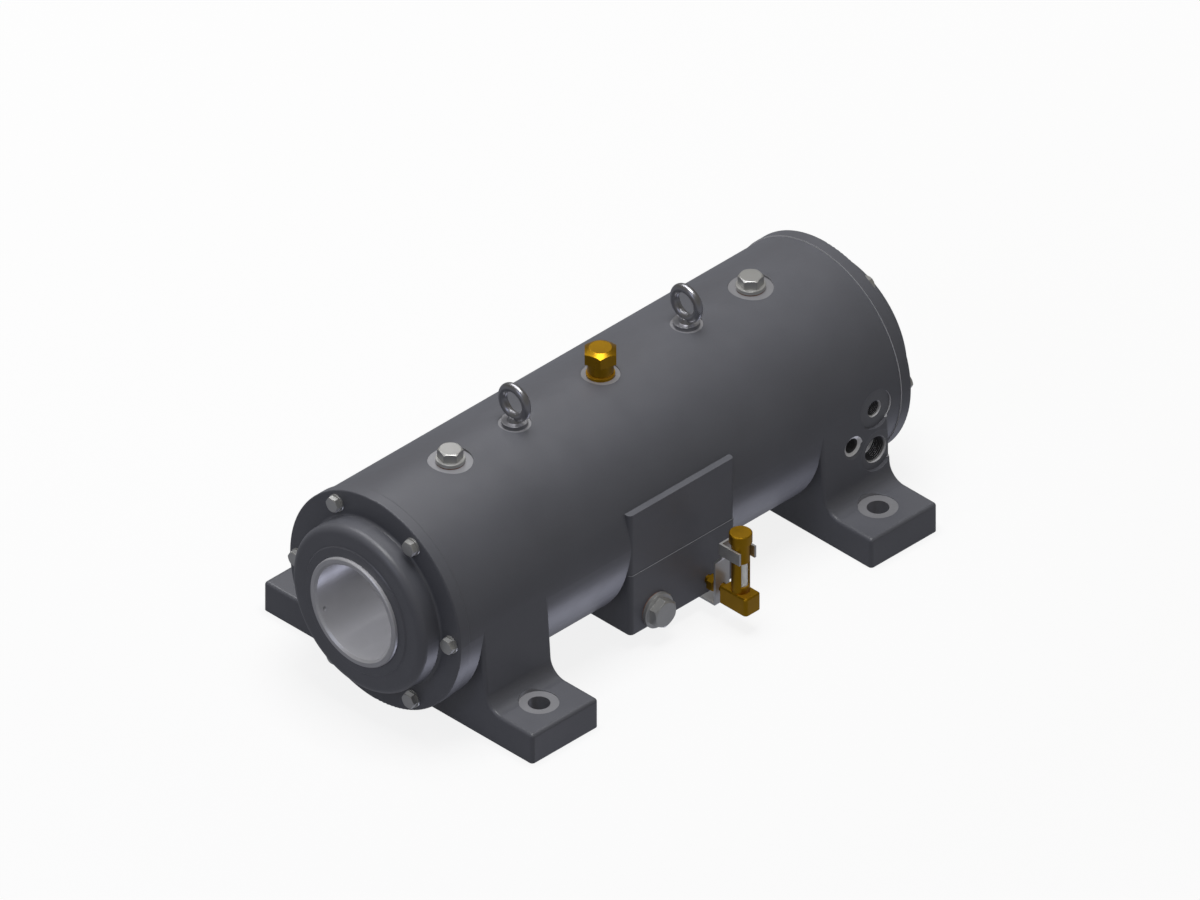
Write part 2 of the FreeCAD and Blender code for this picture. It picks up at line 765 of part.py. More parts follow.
def make_housing():
    body = new_piece("housing")
    casting_foot(body, "front", foot_inner)
    base = casting_foot(body, "rear", -foot_outer)
    casting_rounds(body, base)
    casting_sump(body)
    casting_barrel(body)
    casting_bore(body)
    casting_hollows(body)
    casting_top(body)
    casting_feet_holes(body)
    casting_side(body)
    casting_cover_taps(body)


make_housing()


# Pieces on the shaft axis: their own Z runs outwards along the axis from the middle of the housing

def end_piece(name, end):
    """A body whose Z axis lies on the shaft axis and points out of the front or rear end."""
    body = new_piece(name)
    turn = 90.0 if end == "front" else -90.0
    place(body, (as_size(0), as_size(0), axis_height), (1, 0, 0), turn)
    return body


def turned(body, corners):
    """A piece turned from one profile of radius and station pairs."""
    profile = new_sketch(body, body.Name + "_profile", "XZ_Plane")
    draw_polygon(profile, corners)
    return revolve(body, body.Name + "_turned", profile)


def make_cover(end):
    """A flanged end cover with its hub, the seal land inside the hub and the spigot with its cord groove."""
    body = end_piece(end + "_cover", end)
    seal_radius = sleeve_radius + size.sleeve_gap
    spigot_radius = seat_radius - size.spigot_gap
    spigot_end = barrel_end - size.spigot_depth
    groove_start = barrel_end - size.cord_inset - size.cord_groove
    groove_end = barrel_end - size.cord_inset
    groove_radius = seat_radius - size.cord_groove_depth - size.spigot_gap
    hub_radius = screw_radius - size.washer_diameter / 2 - size.hub_gap
    rim_radius = hub_radius - size.rim_inset
    hub_inside = hub_radius - size.cover_wall
    front_inside = rim_face - size.cover_wall
    land_radius = seal_radius + size.seal_land
    land_end = barrel_end + size.seal_land_sink
    form = turned(body, [
        (cover_radius, barrel_end),
        (cover_radius, flange_face),
        (hub_radius, flange_face),
        (hub_radius, hub_face),
        (rim_radius, hub_face),
        (rim_radius - size.rim_height, rim_face),
        (seal_radius, rim_face),
        (seal_radius, land_end),
        (land_radius, land_end),
        (land_radius, front_inside),
        (hub_inside, front_inside),
        (hub_inside, spigot_end),
        (spigot_radius, spigot_end),
        (spigot_radius, groove_start),
        (groove_radius, groove_start),
        (groove_radius, groove_end),
        (spigot_radius, groove_end),
        (spigot_radius, barrel_end),
    ])
    form = dress(body, "Fillet", end + "_hub_round", form, ring_edge(hub_radius, hub_face), size.hub_round)
    form = dress(body, "Fillet", end + "_hub_root", form, ring_edge(hub_radius, flange_face), size.hub_root)
    form = dress(body, "Fillet", end + "_cover_edge", form,
                 ring_edge(cover_radius, flange_face), size.cover_edge)
    section = new_sketch(body, end + "_screw_hole_section", "XY_Plane", (0, 0, flange_face))
    draw_circle(section, screw_radius, 0, size.screw_hole)
    hole = pocket(body, end + "_screw_hole", section, size.cover_flange)
    around(body, end + "_screw_holes", [hole], COVER_SCREWS)


def make_cover_cord(end):
    """The sealing cord in the cover's spigot groove."""
    body = end_piece(end + "_cover_cord", end)
    cord = body.newObject("PartDesign::AdditiveTorus", end + "_cord_ring")
    bind(cord, "Radius1", seat_radius - size.cord_diameter / 2 - size.spigot_gap)
    bind(cord, "Radius2", size.cord_diameter / 2)
    middle = barrel_end - size.cord_inset - size.cord_groove / 2
    place(cord, (as_size(0), as_size(0), middle))


def head_chamfer(body, name, across_flats, top, spot, flat=None):
    """Bevels the corners of a hexagon head at thirty degrees, outside a round flat."""
    flat = flat or across_flats * HEAD_FLAT
    reach = across_flats / ROOT_THREE + BEYOND
    section = new_sketch(body, name + "_bevel", "XZ_Plane", (spot, 0, 0))
    draw_polygon(section, [
        (flat, top),
        (reach, top - (reach - flat) * HEAD_SLOPE),
        (reach, top),
    ])
    return revolve(body, name + "_bevelled", section, cut=True)


def make_cover_screws(end):
    """Six hexagon screws on the cover's bolt circle."""
    body = end_piece(end + "_cover_screws", end)
    circle = screw_radius
    head_sketch = new_sketch(body, end + "_screw_head_section", "XY_Plane", (0, 0, screw_seat))
    draw_polygon(head_sketch, hexagon_corners(size.screw_across, circle))
    head = pad(body, end + "_screw_head", head_sketch, size.screw_head)
    bevel = head_chamfer(body, end + "_screw_head", size.screw_across, screw_seat + size.screw_head, circle)
    shank_sketch = new_sketch(body, end + "_screw_shank_section", "XY_Plane", (0, 0, screw_seat))
    draw_circle(shank_sketch, circle, 0, size.screw_thread)
    shank = pad(body, end + "_screw_shank", shank_sketch, size.screw_length, back=True)
    around(body, end + "_screw_ring", [head, bevel, shank], COVER_SCREWS)


def make_cover_washers(end):
    """The washers under the cover screws."""
    body = end_piece(end + "_cover_washers", end)
    circle = screw_radius
    section = new_sketch(body, end + "_washer_section", "XY_Plane", (0, 0, flange_face))
    draw_circle(section, circle, 0, size.washer_diameter)
    draw_circle(section, circle, 0, size.washer_hole)
    washer = pad(body, end + "_washer", section, size.washer_thickness)
    around(body, end + "_washer_ring", [washer], COVER_SCREWS)


def make_sleeve(end):
    """The shaft's labyrinth sleeve, from the bearing out through the cover."""
    body = end_piece(end + "_labyrinth_sleeve", end)
    corners = [
        (shaft_radius, bearing_outboard),
        (sleeve_radius, bearing_outboard),
    ]
    groove_radius = sleeve_radius - size.labyrinth_depth
    first = rim_face - size.labyrinth_pitch * (LABYRINTH_GROOVES + 0.5)
    for number in range(LABYRINTH_GROOVES):
        start = first + size.labyrinth_pitch * number
        corners.append((sleeve_radius, start))
        corners.append((groove_radius, start))
        corners.append((groove_radius, start + size.labyrinth_width))
        corners.append((sleeve_radius, start + size.labyrinth_width))
    corners += [
        (sleeve_radius, sleeve_front - size.sleeve_edge),
        (sleeve_radius - size.sleeve_edge, sleeve_front),
        (shaft_radius + size.sleeve_lead, sleeve_front),
        (shaft_radius, sleeve_front - size.sleeve_lead),
    ]
    turned(body, corners)
    hole = body.newObject("PartDesign::SubtractiveCylinder", end + "_lock_hole")
    bind(hole, "Radius", size.lock_hole / 2)
    bind(hole, "Height", sleeve_radius + BEYOND)
    outwards = FreeCAD.Vector(math.cos(math.radians(size.lock_angle.value)),
                              math.sin(math.radians(size.lock_angle.value)), 0)
    place(hole, (as_size(0), as_size(0), sleeve_front - size.lock_inset))
    hole.Placement.Rotation = FreeCAD.Rotation(FreeCAD.Vector(0, 0, 1), outwards)


def make_clip(end):
    """The retaining ring beside the bearing's outer ring, open at the bottom."""
    body = end_piece(end + "_retaining_ring", end)
    bottom = -1 if end == "front" else 1
    outer_radius = clip_groove_radius - size.clip_slack
    inner_radius = outer_radius - size.clip_width
    section = new_sketch(body, end + "_clip_section", "XY_Plane", (0, 0, bearing_outboard))
    draw_circle(section, 0, 0, outer_radius * 2)
    draw_circle(section, 0, 0, inner_radius * 2)
    pad(body, end + "_clip", section, size.clip_thickness)
    eye_across = size.clip_opening / 2 + size.clip_eye / 2
    eye_up = leg(inner_radius, eye_across) * bottom
    eyes = new_sketch(body, end + "_clip_eyes_section", "XY_Plane", (0, 0, bearing_outboard))
    holes = new_sketch(body, end + "_clip_holes_section", "XY_Plane",
                       (0, 0, bearing_outboard + size.clip_thickness))
    for side in (-1, 1):
        draw_circle(eyes, eye_across * side, eye_up, size.clip_eye)
        draw_circle(holes, eye_across * side, eye_up, size.clip_eye_hole)
    pad(body, end + "_clip_eyes", eyes, size.clip_thickness)
    opening = new_sketch(body, end + "_clip_opening_section", "XY_Plane",
                         (0, 0, bearing_outboard + size.clip_thickness))
    half = size.clip_opening / 2
    near_side = inner_radius * bottom * 0.8
    far_side = (outer_radius + BEYOND) * bottom
    draw_polygon(opening, [(-half, near_side), (half, near_side), (half, far_side), (-half, far_side)])
    pocket(body, end + "_clip_opening", opening, size.clip_thickness)
    pocket(body, end + "_clip_holes", holes, size.clip_thickness)


def make_flinger(end):
    """The oil flinger on the shaft, inboard of the bearing."""
    body = end_piece(end + "_oil_flinger", end)
    start = bearing_inboard - size.flinger_length
    hub_radius = shaft_radius + size.flinger_hub
    disc_radius = seat_radius - size.flinger_gap
    turned(body, [
        (shaft_radius, start),
        (disc_radius, start),
        (disc_radius, start + size.flinger_disc),
        (hub_radius, start + size.flinger_disc),
        (hub_radius, bearing_inboard),
        (shaft_radius, bearing_inboard),
    ])


# Front bearing: cylindrical rollers, which let the shaft grow

roller_radius = ring_section * size.roller_share / 2
roller_race_outer = pitch_radius + roller_radius + size.race_clearance
roller_race_inner = pitch_radius - roller_radius - size.race_clearance
roller_start = bearing_middle - size.roller_length / 2
roller_end = bearing_middle + size.roller_length / 2


def ring_chamfers(body, base, name, radius):
    """Chamfers on the mounting corners of a bearing ring."""
    test = either(ring_edge(radius, bearing_inboard), ring_edge(radius, bearing_outboard))
    return dress(body, "Chamfer", name, base, test, size.bearing_chamfer)


def make_roller_bearing(end):
    body = end_piece(end + "_bearing_outer_ring", end)
    lip_radius = roller_race_outer - size.roller_lip
    form = turned(body, [
        (seat_radius, bearing_inboard),
        (seat_radius, bearing_outboard),
        (lip_radius, bearing_outboard),
        (lip_radius, roller_end + size.race_clearance),
        (roller_race_outer, roller_end + size.race_clearance),
        (roller_race_outer, roller_start - size.race_clearance),
        (lip_radius, roller_start - size.race_clearance),
        (lip_radius, bearing_inboard),
    ])
    ring_chamfers(body, form, end + "_outer_ring_edges", seat_radius)

    body = end_piece(end + "_bearing_inner_ring", end)
    turned(body, [
        (shaft_radius, bearing_inboard),
        (roller_race_inner, bearing_inboard),
        (roller_race_inner, bearing_outboard),
        (shaft_radius, bearing_outboard),
    ])

    body = end_piece(end + "_bearing_cage", end)
    cage_inner = pitch_radius - roller_radius / 3
    cage_outer = pitch_radius + roller_radius / 3
    cage_start = bearing_middle - size.roller_cage_width / 2
    cage_end = bearing_middle + size.roller_cage_width / 2
    turned(body, [
        (cage_inner, cage_start),
        (cage_outer, cage_start),
        (cage_outer, cage_end),
        (cage_inner, cage_end),
    ])
    section = new_sketch(body, end + "_pocket_section", "XY_Plane", (0, 0, roller_end + size.pocket_gap))
    draw_circle(section, pitch_radius, 0, (roller_radius + size.pocket_gap) * 2)
    window = pocket(body, end + "_pocket", section, size.roller_length + size.pocket_gap * 2)
    around(body, end + "_pockets", [window], ROLLERS)

    body = end_piece(end + "_bearing_rollers", end)
    profile = new_sketch(body, end + "_roller_profile", "XZ_Plane", (pitch_radius, 0, 0))
    radius = roller_radius
    draw_polygon(profile, [
        (0, roller_start),
        (radius - size.roller_chamfer, roller_start),
        (radius, roller_start + size.roller_chamfer),
        (radius, roller_end - size.roller_chamfer),
        (radius - size.roller_chamfer, roller_end),
        (0, roller_end),
    ])
    roller = revolve(body, end + "_roller", profile)
    around(body, end + "_roller_set", [roller], ROLLERS)


# Rear bearing: deep groove balls, which locate the shaft

ball_radius = ring_section * size.ball_share / 2
groove_radius = ball_radius + size.ball_groove_slack / 2


def cut_groove(body, name, side):
    """Turns the ball groove into a ring, the outer one for side 1 and the inner one for side -1."""
    shift = size.ball_groove_slack / 2 - size.race_clearance
    section = new_sketch(body, name + "_section", "XZ_Plane")
    draw_circle(section, pitch_radius - shift * side, bearing_middle, groove_radius * 2)
    revolve(body, name, section, cut=True)


def make_ball_bearing(end):
    shoulder = ball_radius / 2
    body = end_piece(end + "_bearing_outer_ring", end)
    form = turned(body, [
        (seat_radius, bearing_inboard),
        (seat_radius, bearing_outboard),
        (pitch_radius + shoulder, bearing_outboard),
        (pitch_radius + shoulder, bearing_inboard),
    ])
    ring_chamfers(body, form, end + "_outer_ring_edges", seat_radius)
    cut_groove(body, end + "_outer_groove", 1)

    body = end_piece(end + "_bearing_inner_ring", end)
    turned(body, [
        (shaft_radius, bearing_inboard),
        (pitch_radius - shoulder, bearing_inboard),
        (pitch_radius - shoulder, bearing_outboard),
        (shaft_radius, bearing_outboard),
    ])
    cut_groove(body, end + "_inner_groove", -1)

    body = end_piece(end + "_bearing_cage", end)
    cage_inner = pitch_radius - size.ball_cage_wall / 2
    cage_outer = pitch_radius + size.ball_cage_wall / 2
    cage_start = bearing_middle - ball_radius - size.ball_cage_rim
    cage_end = bearing_middle + ball_radius + size.ball_cage_rim
    turned(body, [
        (cage_inner, cage_start),
        (cage_outer, cage_start),
        (cage_outer, cage_end),
        (cage_inner, cage_end),
    ])
    window = body.newObject("PartDesign::SubtractiveCylinder", end + "_pocket")
    bind(window, "Radius", ball_radius + size.pocket_gap)
    bind(window, "Height", pitch_radius * 2)
    place(window, (as_size(0), as_size(0), bearing_middle), (0, 1, 0), 90.0)
    around(body, end + "_pockets", [window], BALLS)

    body = end_piece(end + "_bearing_balls", end)
    ball = body.newObject("PartDesign::AdditiveSphere", end + "_ball")
    bind(ball, "Radius", ball_radius)
    place(ball, (pitch_radius, as_size(0), bearing_middle))
    around(body, end + "_ball_set", [ball], BALLS)


for end_name in ("front", "rear"):
    make_cover(end_name)
    make_cover_cord(end_name)
    make_cover_screws(end_name)
    make_cover_washers(end_name)
    make_sleeve(end_name)
    make_clip(end_name)
    make_flinger(end_name)
make_roller_bearing("front")
make_ball_bearing("rear")


# Plugs, breather and lifting eyes: their own Z points out of their seat

def make_plug(name, spots, axis, turn, ring_outer, collar, collar_height, across_flats, hexagon):
    """A hexagon plug with its collar, on a sealing ring."""
    ring = new_piece(name + "_seal")
    place(ring, spots, axis, turn)
    section = new_sketch(ring, name + "_seal_section", "XY_Plane")
    draw_circle(section, 0, 0, ring_outer)
    draw_circle(section, 0, 0, size.seal_ring_hole)
    pad(ring, name + "_seal_ring", section, size.seal_ring_thickness)

    body = new_piece(name)
    place(body, spots, axis, turn)
    collar_top = size.seal_ring_thickness + collar_height
    edge = collar_height / 8
    turned(body, [
        (0, -size.plug_shank),
        (size.plug_thread / 2 - edge * 2, -size.plug_shank),
        (size.plug_thread / 2, -size.plug_shank + edge * 2),
        (size.plug_thread / 2, size.seal_ring_thickness),
        (collar / 2, size.seal_ring_thickness),
        (collar / 2, collar_top - edge),
        (collar / 2 - edge, collar_top),
        (0, collar_top),
    ])
    section = new_sketch(body, name + "_hexagon_section", "XY_Plane", (0, 0, collar_top))
    draw_polygon(section, hexagon_corners(across_flats))
    pad(body, name + "_hexagon", section, hexagon)
    head_chamfer(body, name + "_hexagon", across_flats, collar_top + hexagon, 0)


def make_eye_bolt(name, spots):
    """A lifting eye: collar, neck and ring on a threaded shank, with the ring square to the shaft."""
    body = new_piece(name)
    place(body, spots)
    ring_section = (size.eye_ring_outer - size.eye_ring_hole) / 4
    ring_height = size.eye_height - size.eye_ring_outer / 2
    neck_top = size.eye_height - size.eye_ring_outer + ring_section
    turned(body, [
        (0, -size.eye_shank),
        (size.eye_thread / 2 - 1, -size.eye_shank),
        (size.eye_thread / 2, -size.eye_shank + 1),
        (size.eye_thread / 2, 0),
        (size.eye_collar / 2, 0),
        (size.eye_collar / 2, size.eye_collar_height),
        (size.eye_neck / 2, size.eye_collar_height),
        (size.eye_neck_top / 2, neck_top),
        (0, neck_top),
    ])
    ring = body.newObject("PartDesign::AdditiveTorus", name + "_ring")
    bind(ring, "Radius1", size.eye_ring_outer / 2 - ring_section)
    bind(ring, "Radius2", ring_section)
    place(ring, (as_size(0), as_size(0), ring_height), (1, 0, 0), 90.0)


def make_breather():
    """The brass breather: a round body on a collar, and the hexagon cap over its neck."""
    level = axis_height + breather_seat_height
    body = new_piece("breather_body")
    place(body, (as_size(0), as_size(0), level))
    waist_top = size.breather_collar_height + size.breather_waist_height
    body_top = waist_top + size.breather_barrel_height
    neck_top = body_top + size.breather_neck_height
    turned(body, [
        (0, -size.breather_shank),
        (size.breather_thread / 2, -size.breather_shank),
        (size.breather_thread / 2, 0),
        (size.breather_collar / 2, 0),
        (size.breather_collar / 2, size.breather_collar_height),
        (size.breather_waist / 2, size.breather_collar_height),
        (size.breather_waist / 2, waist_top),
        (size.breather_barrel / 2, waist_top),
        (size.breather_barrel / 2, body_top),
        (size.breather_neck / 2, body_top),
        (size.breather_neck / 2, neck_top),
        (0, neck_top),
    ])

    cap = new_piece("breather_cap")
    place(cap, (as_size(0), as_size(0), level), (0, 0, 1), 15.0)
    cap_start = body_top + size.breather_gap
    cap_end = cap_start + size.breather_cap_height
    section = new_sketch(cap, "breather_cap_section", "XY_Plane", (0, 0, cap_start))
    draw_polygon(section, hexagon_corners(size.breather_cap_across))
    pad(cap, "breather_cap_block", section, size.breather_cap_height)
    head_chamfer(cap, "breather_cap", size.breather_cap_across, cap_end, 0, size.breather_cap_flat / 2)
    section = new_sketch(cap, "breather_cap_bore_section", "XY_Plane", (0, 0, cap_start))
    draw_circle(section, 0, 0, size.breather_neck + size.thread_gap * 2)
    pocket(cap, "breather_cap_bore", section, size.breather_neck_height - size.breather_gap, ahead=True)


zero = as_size(0)
for end_name, sign in (("front", -1), ("rear", 1)):
    make_plug(end_name + "_filler_plug", (zero, plug_station * sign, axis_height + plug_seat_height),
              (0, 0, 1), -15.0, size.seal_ring_outer, size.plug_collar, size.plug_collar_height,
              size.plug_across, size.plug_hexagon)
    make_eye_bolt(end_name + "_eye_bolt", (zero, size.eye_pitch / 2 * sign, axis_height + eye_seat_height))
make_plug("drain_plug", (sump_face, size.drain_station, axis_height - size.drain_drop), (0, 1, 0), 90.0,
          size.drain_seal_outer, size.drain_collar, size.drain_collar_height, size.drain_across,
          size.drain_hexagon)
make_breather()


# Oil level gauge on the sump's side

def make_gauge_connector():
    """The brass connector: a pipe screwed into the sump and pushed into the elbow, with a hexagon on it."""
    body = new_piece("gauge_connector")
    place(body, (sump_face, size.gauge_station, gauge_height), (0, 1, 0), 90.0)
    pipe_end = size.gauge_reach - size.elbow_back + size.gauge_pipe_entry
    start = size.gauge_hexagon_start
    section = new_sketch(body, "gauge_hexagon_section", "XY_Plane", (0, 0, start))
    draw_polygon(section, hexagon_corners(size.gauge_across))
    pad(body, "gauge_hexagon", section, size.gauge_hexagon_length)
    head_chamfer(body, "gauge_hexagon", size.gauge_across, start + size.gauge_hexagon_length, 0)
    section = new_sketch(body, "gauge_pipe_section", "XY_Plane", (0, 0, -size.gauge_shank))
    draw_circle(section, 0, 0, size.gauge_pipe)
    pad(body, "gauge_pipe", section, size.gauge_shank + pipe_end)
    section = new_sketch(body, "gauge_bore_section", "XY_Plane", (0, 0, -size.gauge_shank))
    draw_circle(section, 0, 0, size.gauge_pipe / 2)
    pocket(body, "gauge_bore", section, size.gauge_shank + pipe_end, ahead=True)


def make_gauge_elbow():
    """The brass elbow block under the level glass."""
    body = new_piece("gauge_elbow")
    place(body, (glass_axis, size.gauge_station, gauge_height))
    half = size.elbow_width / 2
    section = new_sketch(body, "elbow_section", "XY_Plane", (0, 0, -size.elbow_height / 2))
    draw_polygon(section, [
        (-size.elbow_back, -half),
        (size.elbow_front, -half),
        (size.elbow_front, half),
        (-size.elbow_back, half),
    ])
    block = pad(body, "elbow_block", section, size.elbow_height)
    front = size.elbow_front.value
    corners = either(straight_edge((0, 0, 1), (front, half.value, None)),
                     straight_edge((0, 0, 1), (front, -half.value, None)))
    block = dress(body, "Fillet", "elbow_corners", block, corners, size.elbow_round)
    rim = size.elbow_height.value / 2
    edges = either(straight_edge((1, 0, 0), (None, None, rim)), straight_edge((0, 1, 0), (None, None, rim)))
    dress(body, "Chamfer", "elbow_rim", block, edges, size.elbow_chamfer)
    section = new_sketch(body, "elbow_inlet_section", "YZ_Plane", (0, 0, -size.elbow_back))
    draw_circle(section, 0, 0, size.gauge_pipe + size.thread_gap * 2)
    pocket(body, "elbow_inlet", section, size.gauge_pipe_entry, ahead=True)
    section = new_sketch(body, "elbow_channel_section", "YZ_Plane", (0, 0, -size.elbow_back))
    draw_circle(section, 0, 0, size.gauge_pipe / 2)
    pocket(body, "elbow_channel", section, size.elbow_back, ahead=True)
    top = size.elbow_height / 2
    for name, diameter, depth in (
            ("guard_socket", size.guard_diameter + size.thread_gap * 2, size.guard_entry),
            ("glass_channel", size.glass_channel, size.elbow_height / 2)):
        section = new_sketch(body, name + "_section", "XY_Plane", (0, 0, top))
        draw_circle(section, 0, 0, diameter)
        pocket(body, name, section, depth)


def make_gauge_guard():
    """The brass guard tube round the glass, with a window front and back."""
    body = new_piece("gauge_guard_tube")
    start = elbow_top - size.guard_entry
    place(body, (glass_axis, size.gauge_station, start))
    outer = size.guard_diameter / 2
    length = cap_bottom + size.cap_entry - start
    turned(body, [
        (outer - size.guard_wall, 0),
        (outer, 0),
        (outer, length),
        (outer - size.guard_wall, length),
    ])
    section = new_sketch(body, "window_section", "YZ_Plane")
    half = size.window_width / 2
    low = size.guard_entry + size.window_low
    draw_polygon(section, [
        (-half, low),
        (half, low),
        (half, low + size.window_height),
        (-half, low + size.window_height),
    ])
    pocket(body, "window", section, size.guard_diameter * 2, both=True)


def make_gauge_glass():
    """The level glass inside the guard tube."""
    body = new_piece("gauge_glass")
    start = elbow_top - size.guard_entry
    place(body, (glass_axis, size.gauge_station, start))
    length = cap_bottom + size.cap_entry - start
    turned(body, [
        (size.glass_diameter / 2 - size.glass_wall, 0),
        (size.glass_diameter / 2, 0),
        (size.glass_diameter / 2, length),
        (size.glass_diameter / 2 - size.glass_wall, length),
    ])


def make_gauge_cap():
    """The screwed cap on top of the guard tube."""
    body = new_piece("gauge_cap")
    place(body, (glass_axis, size.gauge_station, cap_bottom))
    bore = size.guard_diameter / 2 + size.thread_gap
    edge = size.cap_height / 12
    turned(body, [
        (bore, 0),
        (size.cap_diameter / 2, 0),
        (size.cap_diameter / 2, size.cap_height - edge),
        (size.cap_diameter / 2 - edge, size.cap_height),
        (0, size.cap_height),
        (0, size.cap_entry),
        (bore, size.cap_entry),
    ])


def make_gauge_bracket():
    """The folded steel bracket: a foot under the sump, a post, a set-off and two ears at the guard tube."""
    body = new_piece("gauge_bracket")
    place(body, (sump_face, size.gauge_station, sump_bottom - size.bracket_sheet))
    sheet = size.bracket_sheet
    post = size.bracket_post
    upper = post + size.bracket_step
    rise = size.bracket_step_rise
    top = size.bracket_top_rise
    section = new_sketch(body, "bracket_strip_section", "XZ_Plane")
    draw_polygon(section, [
        (-size.bracket_foot_length, 0),
        (post, 0),
        (post, rise),
        (upper, rise + size.bracket_step_height),
        (upper, top),
        (upper - sheet, top),
        (upper - sheet, rise + size.bracket_step_height + sheet / 2),
        (post - sheet, rise + sheet / 2),
        (post - sheet, sheet),
        (-size.bracket_foot_length, sheet),
    ])
    strip = pad(body, "bracket_strip", section, size.bracket_width, both=True)
    bends = either(straight_edge((0, 1, 0), (post.value, None, 0)),
                   straight_edge((0, 1, 0), (upper.value, None, (rise + size.bracket_step_height).value)))
    dress(body, "Fillet", "bracket_bends", strip, bends, size.bracket_bend)
    ear_inside = size.guard_diameter / 2 + size.bracket_ear_gap
    ear_outside = ear_inside + sheet
    ear_foot = top - size.bracket_ear_height
    for name, low, high in (("front", -ear_outside, -ear_inside), ("rear", ear_inside, ear_outside)):
        ear = new_sketch(body, "bracket_%s_ear_section" % name, "XY_Plane", (0, 0, ear_foot))
        draw_polygon(ear, [
            (upper - sheet, low),
            (upper - sheet + size.bracket_ear_length, low),
            (upper - sheet + size.bracket_ear_length, high),
            (upper - sheet, high),
        ])
        pad(body, "bracket_%s_ear" % name, ear, size.bracket_ear_height)
    pipe_rise = gauge_height - sump_bottom + sheet
    section = new_sketch(body, "bracket_pipe_hole_section", "YZ_Plane", (0, pipe_rise, post))
    draw_circle(section, 0, 0, size.gauge_pipe + size.bracket_hole_gap * 2)
    pocket(body, "bracket_pipe_hole", section, sheet)
    screw_spot = (-size.bracket_screw_inset, 0, sheet)
    section = new_sketch(body, "bracket_screw_hole_section", "XY_Plane", screw_spot)
    draw_circle(section, 0, 0, size.bracket_screw_thread + size.bracket_hole_gap * 2)
    pocket(body, "bracket_screw_hole", section, sheet)


def make_bracket_screw():
    """The screw that holds the bracket's foot under the sump. Its own Z points down."""
    body = new_piece("gauge_bracket_screw")
    place(body, (sump_face - size.bracket_screw_inset, size.gauge_station, sump_bottom - size.bracket_sheet),
          (1, 0, 0), 180.0)
    section = new_sketch(body, "bracket_screw_head_section", "XY_Plane")
    draw_polygon(section, hexagon_corners(size.bracket_screw_across))
    pad(body, "bracket_screw_head", section, size.bracket_screw_head)
    head_chamfer(body, "bracket_screw", size.bracket_screw_across, size.bracket_screw_head, 0)
    section = new_sketch(body, "bracket_screw_shank_section", "XY_Plane")
    draw_circle(section, 0, 0, size.bracket_screw_thread)
    pad(body, "bracket_screw_shank", section, size.bracket_screw_length - size.bracket_sheet, back=True)


make_gauge_connector()
make_gauge_elbow()
make_gauge_guard()
make_gauge_glass()
make_gauge_cap()
make_gauge_bracket()
make_bracket_screw()


# Every object is checked before anything is written

doc.recompute()
for thing in doc.Objects:
    if "Invalid" in thing.State or "Error" in thing.State:
        raise RuntimeError("%s failed: %s" % (thing.Name, thing.State))
for piece in pieces:
    if piece.Shape.isNull() or not piece.Shape.isValid():
        raise RuntimeError("%s has no valid shape" % piece.Label)

os.makedirs("parts", exist_ok=True)
for piece in pieces:
    piece.Shape.exportStep("parts/%s.step" % piece.Label)
    print(piece.Label, len(piece.Shape.Solids), round(piece.Shape.Volume, 1))
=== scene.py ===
"""Dresses the bearing housing: finishes for every piece, thread ridges in the open ports, studio and camera.

Lengths are in metres. X is across the unit, with the sump and the ports on +X, Y runs along the shaft with the
front end at -Y, and Z is up from the feet.
"""

import logging
import math
from dataclasses import dataclass, field, replace
from enum import Enum
from typing import Any, Callable, Dict, List, Optional, Sequence, Tuple

import bpy
import bmesh
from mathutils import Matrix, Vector


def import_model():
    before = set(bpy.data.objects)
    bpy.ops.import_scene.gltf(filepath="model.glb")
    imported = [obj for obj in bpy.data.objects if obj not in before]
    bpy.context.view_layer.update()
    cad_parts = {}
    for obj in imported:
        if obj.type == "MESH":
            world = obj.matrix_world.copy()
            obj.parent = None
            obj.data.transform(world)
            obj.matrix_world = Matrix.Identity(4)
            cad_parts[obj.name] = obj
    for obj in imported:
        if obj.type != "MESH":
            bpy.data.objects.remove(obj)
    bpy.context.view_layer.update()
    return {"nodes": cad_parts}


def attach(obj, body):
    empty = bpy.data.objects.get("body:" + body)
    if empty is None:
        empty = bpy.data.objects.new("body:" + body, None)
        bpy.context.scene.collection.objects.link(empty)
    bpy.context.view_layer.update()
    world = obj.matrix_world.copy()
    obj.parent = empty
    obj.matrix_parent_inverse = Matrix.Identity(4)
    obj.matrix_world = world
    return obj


frame: Dict[str, Any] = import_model()

Colour = Tuple[float, float, float]
Point = Tuple[float, float, float]
Range = Tuple[float, float]

LOG = logging.getLogger("bearing_housing")
MM: float = 0.001
SHAFT_HEIGHT: float = 0.128
SHAFT_LINE: Point = (0.0, 0.0, SHAFT_HEIGHT)
WHITE: Colour = (1.0, 1.0, 1.0)


class End(Enum):
    """The two ends of the unit."""

    FRONT = "front"
    REAR = "rear"

    @property
    def side(self) -> int:
        """-1 at the front end, 1 at the rear end."""
        return -1 if self is End.FRONT else 1


class Rolling(Enum):
    """What rolls in a bearing."""

    ROLLERS = "rollers"
    BALLS = "balls"


class Axis(Enum):
    """The three axes, as the index of their coordinate."""

    X = 0
    Y = 1
    Z = 2

    @property
    def others(self) -> Tuple[int, int]:
        """The indexes of the two other axes."""
        return tuple(i for i in range(3) if i != self.value)  # type: ignore[return-value]


class Marks(Enum):
    """The direction that the tool left on a metal surface."""

    NONE = "none"
    TURNED = "turned"
    BRUSHED = "brushed"


